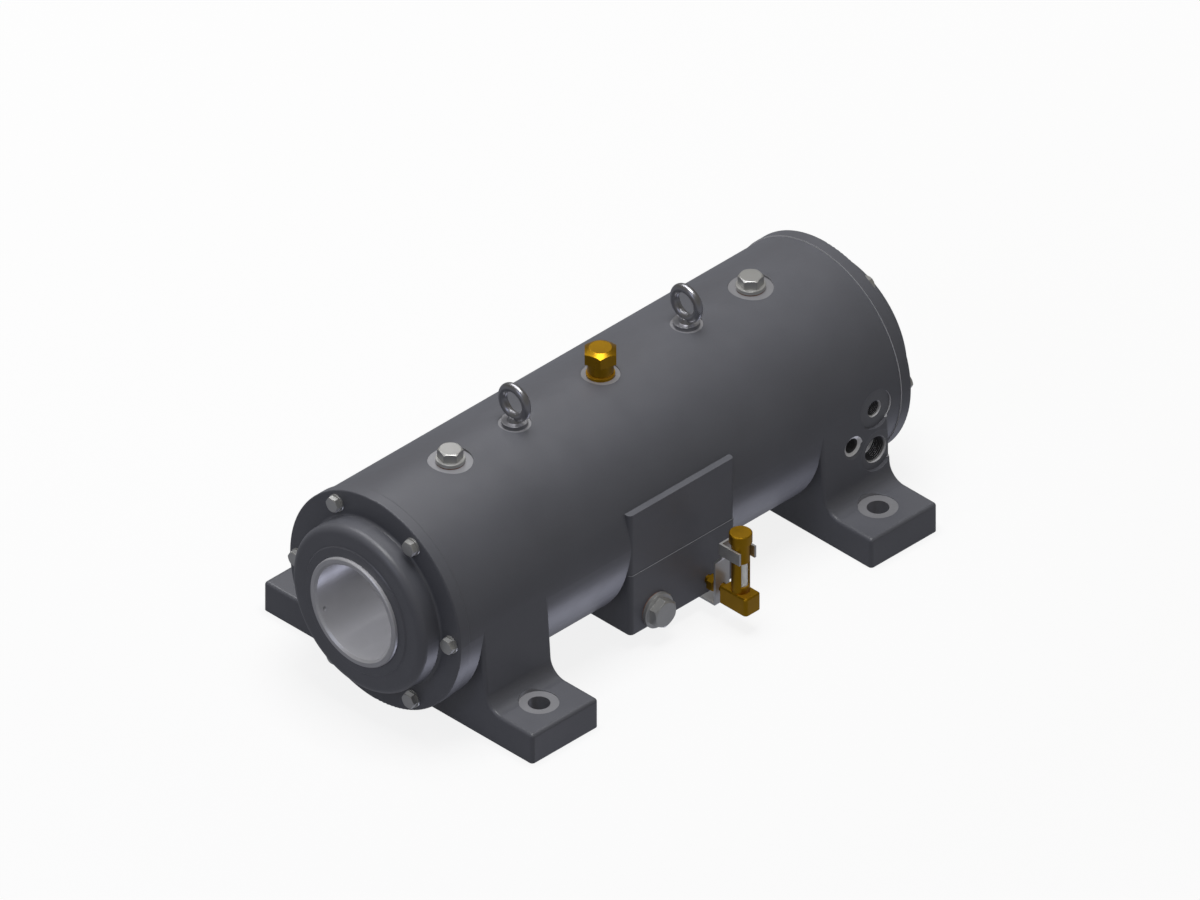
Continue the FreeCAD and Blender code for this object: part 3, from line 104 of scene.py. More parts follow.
class Graph:
    """Makes and joins the nodes of a material or of the surroundings."""

    def __init__(self, owner: Any, output: str = "ShaderNodeOutputMaterial") -> None:
        """Starts from an empty tree with its output.

        Args:
            owner: the material or world whose nodes are made.
            output: the type of its output node.
        """
        owner.use_nodes = True
        self.tree = owner.node_tree
        self.tree.nodes.clear()
        self.output = self.node(output)
        self.place: Optional[bpy.types.NodeSocket] = None

    def node(self, kind: str, **settings: Any) -> bpy.types.Node:
        """Adds a node.

        Args:
            kind: the node's type.
            settings: its properties.

        Returns:
            The new node.
        """
        made = self.tree.nodes.new(kind)
        for name, value in settings.items():
            setattr(made, name, value)
        return made

    def feed(self, socket: bpy.types.NodeSocket, value: Any) -> None:
        """Links a socket to another one, or sets it to a plain value.

        Args:
            socket: the socket that is fed.
            value: the other socket, or the value.
        """
        if isinstance(value, bpy.types.NodeSocket):
            self.tree.links.new(value, socket)
        else:
            socket.default_value = value

    def show(self, surface: bpy.types.NodeSocket) -> None:
        """Makes a shader the one that is seen."""
        self.feed(self.output.inputs["Surface"], surface)

    def spot(self) -> bpy.types.NodeSocket:
        """The point on the piece, which moves with it.

        Returns:
            The socket of the point.
        """
        if self.place is None:
            self.place = self.node("ShaderNodeTexCoord").outputs["Object"]
        return self.place

    def parts(self) -> Any:
        """The coordinates of the point on the piece.

        Returns:
            The three sockets of the coordinates.
        """
        made = self.node("ShaderNodeSeparateXYZ")
        self.feed(made.inputs[0], self.spot())
        return made.outputs

    def stretched(self, scale: Sequence[float]) -> bpy.types.NodeSocket:
        """The point on the piece with each coordinate scaled.

        Args:
            scale: the factor along each axis.

        Returns:
            The scaled point.
        """
        mapping = self.node("ShaderNodeMapping")
        self.feed(mapping.inputs["Vector"], self.spot())
        self.feed(mapping.inputs["Scale"], scale)
        return mapping.outputs["Vector"]

    def noise(self, scale: float, detail: float = 2.0, where: Optional[bpy.types.NodeSocket] = None) -> Any:
        """Soft random patches.

        Args:
            scale: patches per metre.
            detail: how many finer layers are added.
            where: the coordinates, or None for the point on the piece.

        Returns:
            The socket with values about 0.5.
        """
        made = self.node("ShaderNodeTexNoise")
        self.feed(made.inputs["Vector"], where or self.spot())
        self.feed(made.inputs["Scale"], scale)
        self.feed(made.inputs["Detail"], detail)
        return made.outputs["Fac"]

    def math(self, operation: str, first: Any, second: Any = 0.0, third: Any = None) -> Any:
        """One step of arithmetic.

        Args:
            operation: the name of the step.
            first: its first number or socket.
            second: its second one.
            third: its third one, where the step has it.

        Returns:
            The socket of the result.
        """
        made = self.node("ShaderNodeMath", operation=operation)
        self.feed(made.inputs[0], first)
        self.feed(made.inputs[1], second)
        if third is not None:
            self.feed(made.inputs[2], third)
        return made.outputs[0]

    def weigh(self, first: Any, second: Any, share: float) -> Any:
        """Adds two patterns by their weight.

        Args:
            first: the first pattern.
            second: the second one.
            share: the weight of the first one, from 0 to 1; the second one has the rest.

        Returns:
            The socket of their sum.
        """
        return self.math("MULTIPLY_ADD", first, share, self.math("MULTIPLY", second, 1.0 - share))

    def spread(self, value: Any, low: float, high: float, low_in: float = 0.3, high_in: float = 0.7) -> Any:
        """Moves a value from one range to another.

        Args:
            value: the socket.
            low: what low_in becomes.
            high: what high_in becomes.
            low_in: the lower end of the range that comes in.
            high_in: the upper end of the range that comes in.

        Returns:
            The socket of the moved value.
        """
        made = self.node("ShaderNodeMapRange")
        self.feed(made.inputs["Value"], value)
        self.feed(made.inputs["From Min"], low_in)
        self.feed(made.inputs["From Max"], high_in)
        self.feed(made.inputs["To Min"], low)
        self.feed(made.inputs["To Max"], high)
        return made.outputs["Result"]

    def blend(self, share: Any, first: Colour, second: Colour) -> Any:
        """Mixes two colours.

        Args:
            share: how much of the second one there is.
            first: the first colour.
            second: the second colour.

        Returns:
            The socket of the mixed colour.
        """
        made = self.node("ShaderNodeMix", data_type="RGBA")
        self.feed(made.inputs[0], share)
        self.feed(made.inputs[6], (*first, 1.0))
        self.feed(made.inputs[7], (*second, 1.0))
        return made.outputs[2]

    def mottle(self, pattern: Any, first: Colour, second: Colour) -> Any:
        """Mixes two colours by a random pattern.

        Args:
            pattern: the pattern, with values about 0.5.
            first: the colour where it is low.
            second: the colour where it is high.

        Returns:
            The socket of the mixed colour.
        """
        return self.blend(self.spread(pattern, 0.0, 1.0), first, second)

    def round_edges(self, radius: float) -> Any:
        """The surface direction with every edge broken to a small radius.

        Args:
            radius: the edge radius in metres.

        Returns:
            The socket with the direction.
        """
        made = self.node("ShaderNodeBevel", samples=6)
        self.feed(made.inputs["Radius"], radius)
        return made.outputs["Normal"]

    def bump(self, height: Any, depth: float, strength: float, under: Any = None) -> Any:
        """Raises the surface by a pattern.

        Args:
            height: the pattern.
            depth: how high a value of 1 stands, in metres.
            strength: how much of the relief shows.
            under: the surface direction that the relief is added to, or None.

        Returns:
            The socket with the new surface direction.
        """
        made = self.node("ShaderNodeBump")
        self.feed(made.inputs["Height"], height)
        self.feed(made.inputs["Distance"], depth)
        self.feed(made.inputs["Strength"], strength)
        if under is not None:
            self.feed(made.inputs["Normal"], under)
        return made.outputs["Normal"]

    def plain(self, kind: str, colour: Colour, strength: Optional[float] = None) -> Any:
        """Adds a simple shader of one colour.

        Args:
            kind: the shader's type.
            colour: its colour.
            strength: its brightness, where it shines.

        Returns:
            The socket of the shader.
        """
        made = self.node(kind)
        self.feed(made.inputs["Color"], (*colour, 1.0))
        if strength is not None:
            self.feed(made.inputs["Strength"], strength)
        return made.outputs[0]

    def choose(self, share: Any, first: Any, second: Any) -> Any:
        """Mixes two shaders.

        Args:
            share: how much of the second one there is.
            first: the first shader.
            second: the second shader.

        Returns:
            The socket of the mixed shader.
        """
        made = self.node("ShaderNodeMixShader")
        for socket, value in zip(made.inputs, (share, first, second)):
            self.feed(socket, value)
        return made.outputs[0]


def shade(hue: Colour, factor: float) -> Colour:
    """A darker or lighter version of a colour."""
    return tuple(min(1.0, part * factor) for part in hue)  # type: ignore[return-value]


@dataclass(frozen=True)
class Finish:
    """What every finish has.

    Attributes:
        name: the material's name.
        colour: the plain colour.
        roughness: how much the shine is spread.
        edge: the radius that edges are broken to, in metres.
    """

    name: str
    colour: Colour
    roughness: float
    edge: float = 0.4 * MM

    def build(self) -> bpy.types.Material:
        """Makes the material.

        Returns:
            The new material.
        """
        material = bpy.data.materials.new(self.name)
        graph = Graph(material)
        shader = graph.node("ShaderNodeBsdfPrincipled")
        graph.feed(shader.inputs["Roughness"], self.roughness)
        graph.feed(shader.inputs["Base Color"], (*self.colour, 1.0))
        self.dress(graph, shader)
        graph.show(shader.outputs["BSDF"])
        material.diffuse_color = (*self.colour, 1.0)
        return material

    def dress(self, graph: Graph, shader: bpy.types.Node) -> None:
        """Adds what is special about this finish.

        Args:
            graph: the material's nodes.
            shader: its main shader.
        """


@dataclass(frozen=True)
class CastingPaint(Finish):
    """Machine paint over sand-cast iron: fine sand grain under a smooth satin coat.

    Attributes:
        grain: sand grains per metre.
        grain_depth: how far the grain shows through the paint, in metres.
        wave: soft unevenness of the casting, per metre.
        wave_depth: its height in metres.
        cloud: slow changes of tone, per metre.
        tones: the darkest and the lightest tone, as shares of the colour.
        patch: patches of duller and shinier paint, per metre.
        dulling: how far their roughness is from the plain one.
        coat: how much clear top coat there is.
        coat_roughness: how much the coat's shine is spread.
    """

    grain: float = 900.0
    grain_depth: float = 0.05 * MM
    wave: float = 55.0
    wave_depth: float = 0.22 * MM
    cloud: float = 9.0
    tones: Range = (0.88, 1.10)
    patch: float = 34.0
    dulling: Range = (-0.05, 0.06)
    coat: float = 0.18
    coat_roughness: float = 0.28

    def dress(self, graph: Graph, shader: bpy.types.Node) -> None:
        """Adds the tone changes, the coat and the grain.

        Args:
            graph: the material's nodes.
            shader: its main shader.
        """
        cloud = graph.noise(self.cloud, detail=3.0)
        fine = graph.noise(self.grain, detail=3.0)
        tone = graph.weigh(fine, cloud, share=0.35)
        dark, light = (shade(self.colour, tone_share) for tone_share in self.tones)
        graph.feed(shader.inputs["Base Color"], graph.mottle(tone, dark, light))
        patch = graph.noise(self.patch, detail=4.0)
        low, high = (self.roughness + change for change in self.dulling)
        graph.feed(shader.inputs["Roughness"], graph.spread(patch, low, high))
        graph.feed(shader.inputs["Coat Weight"], self.coat)
        graph.feed(shader.inputs["Coat Roughness"], self.coat_roughness)
        rounded = graph.round_edges(self.edge)
        soft = graph.bump(graph.noise(self.wave), self.wave_depth, strength=0.5, under=rounded)
        graph.feed(shader.inputs["Normal"], graph.bump(fine, self.grain_depth, strength=0.55, under=soft))


@dataclass(frozen=True)
class Metal(Finish):
    """Bare or plated metal with the marks of its tool.

    Attributes:
        marks: the direction of the tool marks.
        axis: the axis that they run round, or along where they are brushed.
        centre: a point on that axis.
        pitch: the distance between two turned marks in metres.
        relief: the marks' height in metres.
        stain: how much darker its patches are, from 0 to 1.
        bare: how much of the surface is bright bare metal, from 0 to 1; the rest is a dull skin.
        fine: specks or brush lines, per metre.
        run: brush lines one after the other, per metre.
        patch: duller patches, per metre.
        dulling: how far the roughness of the duller and of the brighter places is from the plain one.
    """

    marks: Marks = Marks.NONE
    axis: Axis = Axis.Z
    centre: Point = (0.0, 0.0, 0.0)
    pitch: float = 0.45 * MM
    relief: float = 0.006 * MM
    stain: float = 0.16
    bare: float = 1.0
    fine: float = 1500.0
    run: float = 60.0
    patch: float = 42.0
    dulling: Range = (0.08, -0.04)

    def tool_marks(self, graph: Graph) -> Any:
        """The pattern of the tool marks.

        Args:
            graph: the material's nodes.

        Returns:
            The socket of the pattern.
        """
        if self.marks is Marks.NONE:
            return graph.noise(self.fine)
        if self.marks is Marks.BRUSHED:
            lines = [self.run if axis is self.axis else self.fine for axis in Axis]
            return graph.noise(1.0, where=graph.stretched(lines))
        parts = graph.parts()
        first, second = self.axis.others
        across = graph.math("SUBTRACT", parts[first], self.centre[first])
        upward = graph.math("SUBTRACT", parts[second], self.centre[second])
        square = graph.math("MULTIPLY_ADD", across, across, graph.math("MULTIPLY", upward, upward))
        run = graph.math("ADD", graph.math("SQRT", square), parts[self.axis.value])
        lines = graph.node("ShaderNodeCombineXYZ")
        graph.feed(lines.inputs[0], graph.math("DIVIDE", run, self.pitch))
        return graph.noise(1.0, detail=3.0, where=lines.outputs[0])

    def dress(self, graph: Graph, shader: bpy.types.Node) -> None:
        """Adds the tool marks, duller patches and broken edges.

        Args:
            graph: the material's nodes.
            shader: its main shader.
        """
        graph.feed(shader.inputs["Metallic"], self.bare)
        marks = self.tool_marks(graph)
        tone = graph.weigh(marks, graph.noise(self.patch, detail=4.0), share=0.3)
        graph.feed(shader.inputs["Base Color"], graph.mottle(tone, shade(self.colour, 1.0 - self.stain), self.colour))
        dull, bright = (self.roughness + change for change in self.dulling)
        graph.feed(shader.inputs["Roughness"], graph.spread(tone, dull, bright))
        rounded = graph.round_edges(self.edge)
        graph.feed(shader.inputs["Normal"], graph.bump(marks, self.relief, strength=0.6, under=rounded))


@dataclass(frozen=True)
class TappedHole(Metal):
    """The bare wall and thread of a hole along X, darker further in, with painted light at its mouth for the light
    that falls off into the hole.

    Attributes:
        mouth: where the hole starts.
        bright: how far in the painted light reaches, in metres.
        painted_mouth_light: the colour of the bright part.
    """

    mouth: float = 0.0
    bright: float = 4.0 * MM
    painted_mouth_light: Colour = (0.95, 0.95, 0.96)

    def dress(self, graph: Graph, shader: bpy.types.Node) -> None:
        """Adds the tool marks and the bright mouth.

        Args:
            graph: the material's nodes.
            shader: its main shader.
        """
        super().dress(graph, shader)
        # Painted light: the colour turns from the hole's dark colour deep in to a light one at the mouth, where light
        # reaches.
        painted_light_share = graph.spread(graph.parts()[0], 0.0, 1.0, self.mouth - self.bright, self.mouth)
        graph.feed(shader.inputs["Base Color"], graph.blend(painted_light_share, self.colour, self.painted_mouth_light))


@dataclass(frozen=True)
class SoftRing(Finish):
    """Rubber cord or pressed fibre: matt, with a fine uneven skin.

    Attributes:
        fibre: specks per metre.
        contrast: how much darker and lighter the specks are.
        relief: their height in metres.
        shine: how much light its skin throws back.
    """

    fibre: float = 700.0
    contrast: float = 0.2
    relief: float = 0.05 * MM
    shine: float = 0.3

    def dress(self, graph: Graph, shader: bpy.types.Node) -> None:
        """Adds specks of two tones and their relief.

        Args:
            graph: the material's nodes.
            shader: its main shader.
        """
        specks = graph.noise(self.fibre, detail=4.0)
        dark, light = shade(self.colour, 1.0 - self.contrast), shade(self.colour, 1.0 + self.contrast)
        graph.feed(shader.inputs["Base Color"], graph.mottle(specks, dark, light))
        graph.feed(shader.inputs["Specular IOR Level"], self.shine)
        graph.feed(shader.inputs["Normal"], graph.bump(specks, self.relief, strength=0.5))


@dataclass(frozen=True)
class GaugeGlass(Finish):
    """The clear tube of the oil gauge, with faint drawn streaks along it.

    Attributes:
        clear: how much light goes through it, from 0 to 1.
        bending: how much it bends light.
        streaks: streaks per metre along each axis.
        relief: their height in metres.
        haze: how much duller a streak is.
    """

    clear: float = 0.45
    bending: float = 1.47
    streaks: Point = (500.0, 500.0, 20.0)
    relief: float = 0.01 * MM
    haze: float = 0.05

    def dress(self, graph: Graph, shader: bpy.types.Node) -> None:
        """Makes it clear and adds the streaks.

        Args:
            graph: the material's nodes.
            shader: its main shader.
        """
        graph.feed(shader.inputs["Transmission Weight"], self.clear)
        graph.feed(shader.inputs["IOR"], self.bending)
        streaks = graph.noise(1.0, where=graph.stretched(self.streaks))
        graph.feed(shader.inputs["Roughness"], graph.spread(streaks, self.roughness, self.roughness + self.haze))
        graph.feed(shader.inputs["Normal"], graph.bump(streaks, self.relief, strength=0.3))


IRON_PAINT = CastingPaint("casting_paint", (0.098, 0.101, 0.116), 0.42, 1.1 * MM)
SEAT_PAINT = CastingPaint("seat_paint", (0.118, 0.121, 0.134), 0.36, 0.5 * MM, grain_depth=0.01 * MM,
                          wave_depth=0.02 * MM)
# A lighter paint for the narrow ledge between the sump and the plate: a painted highlight along the ledge.
LEDGE_HIGHLIGHT_PAINT = replace(SEAT_PAINT, name="ledge_highlight_paint", colour=(0.21, 0.213, 0.23), edge=0.1 * MM)
# The dark colour of the tapped holes; their finish paints light over it near the mouth.
TAPPED_IRON = TappedHole("tapped_iron", (0.06, 0.06, 0.066), 0.50, 0.2 * MM, stain=0.25, bare=0.1)
MACHINED_IRON = Metal("machined_iron", (0.31, 0.31, 0.325), 0.40, 0.2 * MM, Marks.TURNED, pitch=0.5 * MM,
                      relief=0.008 * MM, stain=0.12, bare=0.55)
MILLED_IRON = replace(MACHINED_IRON, name="milled_base", marks=Marks.BRUSHED, axis=Axis.Y, relief=0.006 * MM)
FACED_IRON = Metal("faced_iron", (0.74, 0.74, 0.75), 0.45, 0.2 * MM, stain=0.1, bare=0.2)
BORED_IRON = Metal("bored_iron", (0.30, 0.30, 0.315), 0.50, 0.2 * MM, stain=0.2, bare=0.4)
BRIGHT_ZINC = Metal("bright_zinc", (0.54, 0.54, 0.525), 0.30, 0.35 * MM, stain=0.14, bare=0.75)
FORGED_STEEL = Metal("forged_steel", (0.38, 0.38, 0.40), 0.30, 0.5 * MM, relief=0.02 * MM, stain=0.18)
GROUND_STEEL = Metal("ground_steel", (0.62, 0.62, 0.63), 0.16, 0.3 * MM, stain=0.06)
SPRING_STEEL = Metal("spring_steel", (0.12, 0.12, 0.13), 0.42, 0.3 * MM, stain=0.25)
TURNED_STEEL = Metal("turned_steel", (0.46, 0.46, 0.48), 0.40, 0.25 * MM, Marks.TURNED, Axis.Y, SHAFT_LINE,
                     stain=0.10, bare=0.5)
ROLLED_SHEET = Metal("rolled_sheet", (0.60, 0.60, 0.59), 0.32, 0.25 * MM, Marks.BRUSHED, Axis.Z, stain=0.12, bare=0.8)
FITTING_BRASS = Metal("fitting_brass", (0.50, 0.27, 0.014), 0.34, 0.35 * MM, relief=0.01 * MM, stain=0.22)
CAGE_BRASS = Metal("cage_brass", (0.62, 0.44, 0.15), 0.30, 0.3 * MM, Marks.TURNED, Axis.Y, SHAFT_LINE, stain=0.12)
FIBRE_RING = SoftRing("fibre_ring", (0.27, 0.145, 0.095), 0.62)
CORD_RUBBER = SoftRing("cord_rubber", (0.014, 0.014, 0.015), 0.55, contrast=0.3)
CLEAR_GLASS = GaugeGlass("clear_glass", (0.96, 0.98, 0.97), 0.06)

Outfit = Tuple[Tuple[str, Finish], ...]
FaceTest = Callable[[Sequence[Vector]], bool]


def machined(name: str, axis: Axis, centre: Point) -> Metal:
    """Iron turned round an axis.

    Args:
        name: what was turned.
        axis: the axis that it turned round.
        centre: a point on that axis.

    Returns:
        The finish.
    """
    return replace(MACHINED_IRON, name="machined_" + name, axis=axis, centre=centre)


class Wardrobe:
    """Keeps each finish's material, so that pieces that share a finish share the material."""

    def __init__(self) -> None:
        """Starts empty."""
        self.made: Dict[Finish, bpy.types.Material] = {}

    def of(self, finish: Finish) -> bpy.types.Material:
        """The material of a finish.

        Args:
            finish: the finish.

        Returns:
            Its material, made on first use.
        """
        if finish not in self.made:
            self.made[finish] = finish.build()
        return self.made[finish]


WARDROBE = Wardrobe()


def dress_node(node: str, finish: Finish) -> bpy.types.Object:
    """Gives a solid of the frame its finish.

    Args:
        node: the solid's name.
        finish: its finish.

    Returns:
        The solid's object.
    """
    thing = frame["nodes"][node]
    thing.data.materials.clear()
    thing.data.materials.append(WARDROBE.of(finish))
    LOG.info("%s: %s", node, finish.name)
    return thing


def dress_nodes(outfit: Outfit, prefix: str = "") -> None:
    """Gives several solids of the frame their finish.

    Args:
        outfit: pairs of a solid's name and its finish.
        prefix: what stands before each of the names.
    """
    for node, finish in outfit:
        dress_node(prefix + node, finish)


def dress_patches(thing: bpy.types.Object, tests: Sequence[Tuple[Finish, FaceTest]]) -> None:
    """Gives the machined faces of a casting their own finish.

    Args:
        thing: the casting's object.
        tests: pairs of a finish and a test of a face's corners. The first test that is true counts.
    """
    mesh = thing.data
    for finish, _ in tests:
        mesh.materials.append(WARDROBE.of(finish))
    for face in mesh.polygons:
        corners = [mesh.vertices[i].co for i in face.vertices]
        for number, (_, test) in enumerate(tests):
            if test(corners):
                face.material_index = number + 1
                break


def from_axis(point: Vector) -> float:
    """The distance of a point from the shaft's axis."""
    return math.hypot(point.x, point.z - SHAFT_HEIGHT)


@dataclass(frozen=True)
class Patch:
    """An area on a casting: all of the surface inside a cylinder.

    Attributes:
        name: what the area is for.
        centre: a point on the cylinder's axis.
        axis: the direction of that axis.
        radius: the cylinder's radius.
        span: where along the axis the area lies.
        margin: how far past the radius a corner may be.
    """

    name: str
    centre: Point
    axis: Axis
    radius: float
    span: Range
    margin: float = 0.2 * MM

    def holds(self, points: Sequence[Vector]) -> bool:
        """Whether a face lies in the area.

        Args:
            points: the face's corners.

        Returns:
            True where every corner does.
        """
        first, second = self.axis.others
        for point in points:
            reach = math.hypot(point[first] - self.centre[first], point[second] - self.centre[second])
            if reach > self.radius + self.margin or not self.span[0] <= point[self.axis.value] <= self.span[1]:
                return False
        return True


@dataclass
class Port:
    """An open tapped port in the casting's side, with a seat that is painted over.

    Attributes:
        name: what the port is for.
        station: its place along the shaft.
        height: its height above the feet.
        face: how far out its seat is.
        hole_radius: the radius of the tapped hole.
        seat_radius: the radius of the machined seat.
        depth: how far the thread goes in.
        pitch: the thread's pitch.
        lead: how far inside the seat the thread starts.
        margin: how far past its radius a face of the port may reach.
        seat_span: where the seat's cut starts, and how far past the seat it ends.
        wall_span: where the hole's wall starts, and how far inside the seat it ends.
        flatness: how far from the seat's plane a corner may be and still count as on it.
        crest: the height of the thread's ridge, as a share of the pitch.
        foot: half the width of the ridge where it leaves the wall, as a share of the pitch.
        flat: half the width of its crest, as a share of the pitch.
        bite: how deep the ridge's foot sits in the wall.
        steps: the ridge's sections in each turn.
    """

    name: str
    station: float
    height: float
    face: float
    hole_radius: float
    seat_radius: float
    depth: float
    pitch: float
    lead: float = 0.6 * MM
    margin: float = 0.3 * MM
    seat_span: Range = (0.088, 3 * MM)
    wall_span: Range = (0.06, 0.4 * MM)
    flatness: float = 0.2 * MM
    crest: float = 0.55
    foot: float = 0.44
    flat: float = 0.07
    bite: float = 0.05 * MM
    steps: int = 40

    def finish(self) -> TappedHole:
        """The bare iron of the hole and its thread, with painted light at its mouth."""
        return replace(TAPPED_IRON, name="tapped_" + self.name, mouth=self.face)

    def patch(self, radius: float, span: Range) -> Patch:
        """An area round the port's axis."""
        return Patch(self.name, (0.0, self.station, self.height), Axis.X, radius, span, self.margin)

    def on_wall(self, points: Sequence[Vector]) -> bool:
        """Whether a face is part of the bare wall of the hole."""
        return self.patch(self.hole_radius, (self.wall_span[0], self.face - self.wall_span[1])).holds(points)

    def on_seat(self, points: Sequence[Vector]) -> bool:
        """Whether a face is part of the port's seat or of the cut round it."""
        return self.patch(self.seat_radius, (self.seat_span[0], self.face + self.seat_span[1])).holds(points)

    def on_step(self, points: Sequence[Vector]) -> bool:
        """Whether a face is part of the bare cut edge round the seat or of the bevel at the hole's mouth."""
        return self.on_seat(points) and any(abs(point.x - self.face) > self.flatness for point in points)

    def tests(self) -> List[Tuple[Finish, FaceTest]]:
        """The port's own finishes."""
        return [(self.finish(), self.on_wall), (FACED_IRON, self.on_step), (SEAT_PAINT, self.on_seat)]

    def thread_section(self, step: int, count: int) -> List[Point]:
        """The four corners of the thread's ridge at one place.

        Args:
            step: the number of the section, from the mouth.
            count: the number of the last section.

        Returns:
            The corners, from the foot at the mouth's side over the crest to the other foot.
        """
        angle = 2 * math.pi * step / self.steps
        along = self.face - self.lead - self.foot * self.pitch - self.pitch * step / self.steps
        swell = min(1.0, step / (0.5 * self.steps), (count - step) / (0.5 * self.steps))
        inner = self.hole_radius - self.crest * self.pitch * max(0.05, swell)
        outer = self.hole_radius + self.bite
        foot, flat = self.foot * self.pitch, self.flat * self.pitch
        section = ((along + foot, outer), (along + flat, inner), (along - flat, inner), (along - foot, outer))
        return [(x, self.station + reach * math.cos(angle), self.height + reach * math.sin(angle))
                for x, reach in section]

    def cut_thread(self) -> bpy.types.Object:
        """Builds the thread as one ridge that winds into the hole.

        Returns:
            The ridge's object.
        """
        turns = (self.depth - self.lead) / self.pitch - 1.0
        count = int(turns * self.steps)
        form = bmesh.new()
        rings = [[form.verts.new(corner) for corner in self.thread_section(step, count)] for step in range(count + 1)]
        for before, after in zip(rings, rings[1:]):
            for i in range(4):
                j = (i + 1) % 4
                form.faces.new((before[i], before[j], after[j], after[i]))
        form.faces.new(rings[0][::-1])
        form.faces.new(rings[-1])
        bmesh.ops.recalc_face_normals(form, faces=form.faces)
        mesh = bpy.data.meshes.new(self.name + "_thread")
        form.to_mesh(mesh)
        form.free()
        thing = bpy.data.objects.new(self.name + "_thread", mesh)
        bpy.context.scene.collection.objects.link(thing)
        mesh.materials.append(WARDROBE.of(self.finish()))
        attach(thing, "housing")
        LOG.info("%s: thread of %d turns", thing.name, round(turns))
        return thing


@dataclass
class Casting:
    """The housing: one painted iron casting with machined seats, holes, bores and feet.

    Attributes:
        foot_across: half the distance between bolt holes across the unit.
        foot_along: half the distance between bolt holes along it.
        foot_seat: the radius of the seats round the bolt holes.
        foot_hole: the radius of the bolt holes.
        foot_span: the heights between which the feet's seats and holes lie.
        crown_span: the heights between which the seats on top of the barrel lie.
        plug_along: the filler plugs' distance from the middle.
        plug_seat: the radius of their seats.
        eye_along: the eye bolts' distance from the middle.
        eye_seat: the radius of their seats.
        breather_seat: the radius of the breather's seat.
        bearing_radius: the radius of the bearing seats.
        bearing_start: the distance from the middle past which they are machined.
        end_face: the distance from the middle past which the end face lies.
        ledge_height: the height of the narrow ledge between the sump and the plate.
        ledge_start: how far out the ledge is, at the least.
        ledge_flatness: how far above or below its height a corner of the ledge may be.
        base_flatness: how far above or below the ground a corner of the feet's underside may be.
        ports: the open ports in the side.
    """

    foot_across: float = 0.160
    foot_along: float = 0.251
    foot_seat: float = 0.0225
    foot_hole: float = 0.012
    foot_span: Range = (-0.001, 0.06)
    crown_span: Range = (0.225, 0.26)
    plug_along: float = 0.2225
    plug_seat: float = 0.02425
    eye_along: float = 0.12725
    eye_seat: float = 0.0176
    breather_seat: float = 0.0215
    bearing_radius: float = 0.1006
    bearing_start: float = 0.195
    end_face: float = 0.3209
    ledge_height: float = 0.094
    ledge_start: float = 0.12
    ledge_flatness: float = 0.2 * MM
    base_flatness: float = 0.1 * MM
    ports: List[Port] = field(default_factory=lambda: [
        Port("vent_port", 0.2825, 0.127, 0.1229, 0.0098, 0.0228, 0.0165, 1.814 * MM),
        Port("probe_port", 0.2473, 0.0976, 0.1272, 0.0087, 0.0130, 0.021, 1.337 * MM, 3.2 * MM),
        Port("feed_port", 0.2816, 0.0769, 0.1259, 0.0157, 0.0237, 0.0195, 2.309 * MM),
    ])

    def machined_areas(self) -> List[Patch]:
        """The machined seats on the barrel and the feet.

        Returns:
            One entry for each seat.
        """
        areas = [Patch("breather_seat", (0.0, 0.0, 0.0), Axis.Z, self.breather_seat, self.crown_span)]
        for end in End:
            for name, along, radius in (("plug", self.plug_along, self.plug_seat),
                                        ("eye", self.eye_along, self.eye_seat)):
                areas.append(Patch("%s_%s_seat" % (end.value, name), (0.0, end.side * along, 0.0), Axis.Z, radius,
                                   self.crown_span))
            for side, word in ((-1, "left"), (1, "right")):
                centre = (side * self.foot_across, end.side * self.foot_along, 0.0)
                areas.append(Patch("%s_%s_foot_seat" % (end.value, word), centre, Axis.Z, self.foot_seat,
                                   self.foot_span))
        return areas

    def foot_walls(self) -> List[Patch]:
        """The walls of the bolt holes in the feet.

        Returns:
            One entry for each hole.
        """
        return [Patch("foot_hole_wall", (across, along, 0.0), Axis.Z, self.foot_hole, self.foot_span)
                for across in (-self.foot_across, self.foot_across) for along in (-self.foot_along, self.foot_along)]

    def on_ledge(self, points: Sequence[Vector]) -> bool:
        """Whether a face is part of the narrow ledge between the sump and the plate, which gets a lighter paint as a
        painted highlight.
        """
        return all(abs(point.z - self.ledge_height) < self.ledge_flatness and point.x > self.ledge_start
                   for point in points)

    def in_bore(self, points: Sequence[Vector]) -> bool:
        """Whether a face is part of a bearing seat, its shoulder or the machined end face."""
        return all(from_axis(point) < self.bearing_radius and abs(point.y) > self.bearing_start
                   for point in points) or all(abs(point.y) > self.end_face for point in points)

    def on_base(self, points: Sequence[Vector]) -> bool:
        """Whether a face is part of the feet's milled underside."""
        return all(abs(point.z) < self.base_flatness for point in points)

    def build(self) -> None:
        """Dresses the casting and cuts the threads of its ports."""
        tests = [test for kind in zip(*(port.tests() for port in self.ports)) for test in kind]
        tests += [(BORED_IRON, wall.holds) for wall in self.foot_walls()]
        tests += [(machined(area.name, area.axis, area.centre), area.holds) for area in self.machined_areas()]
        # The ledge gets the lighter paint, a painted highlight.
        tests += [(LEDGE_HIGHLIGHT_PAINT, self.on_ledge), (machined("bore", Axis.Y, SHAFT_LINE), self.in_bore),
                  (MILLED_IRON, self.on_base)]
        dress_patches(dress_node("housing", IRON_PAINT), tests)
        for port in self.ports:
            port.cut_thread()


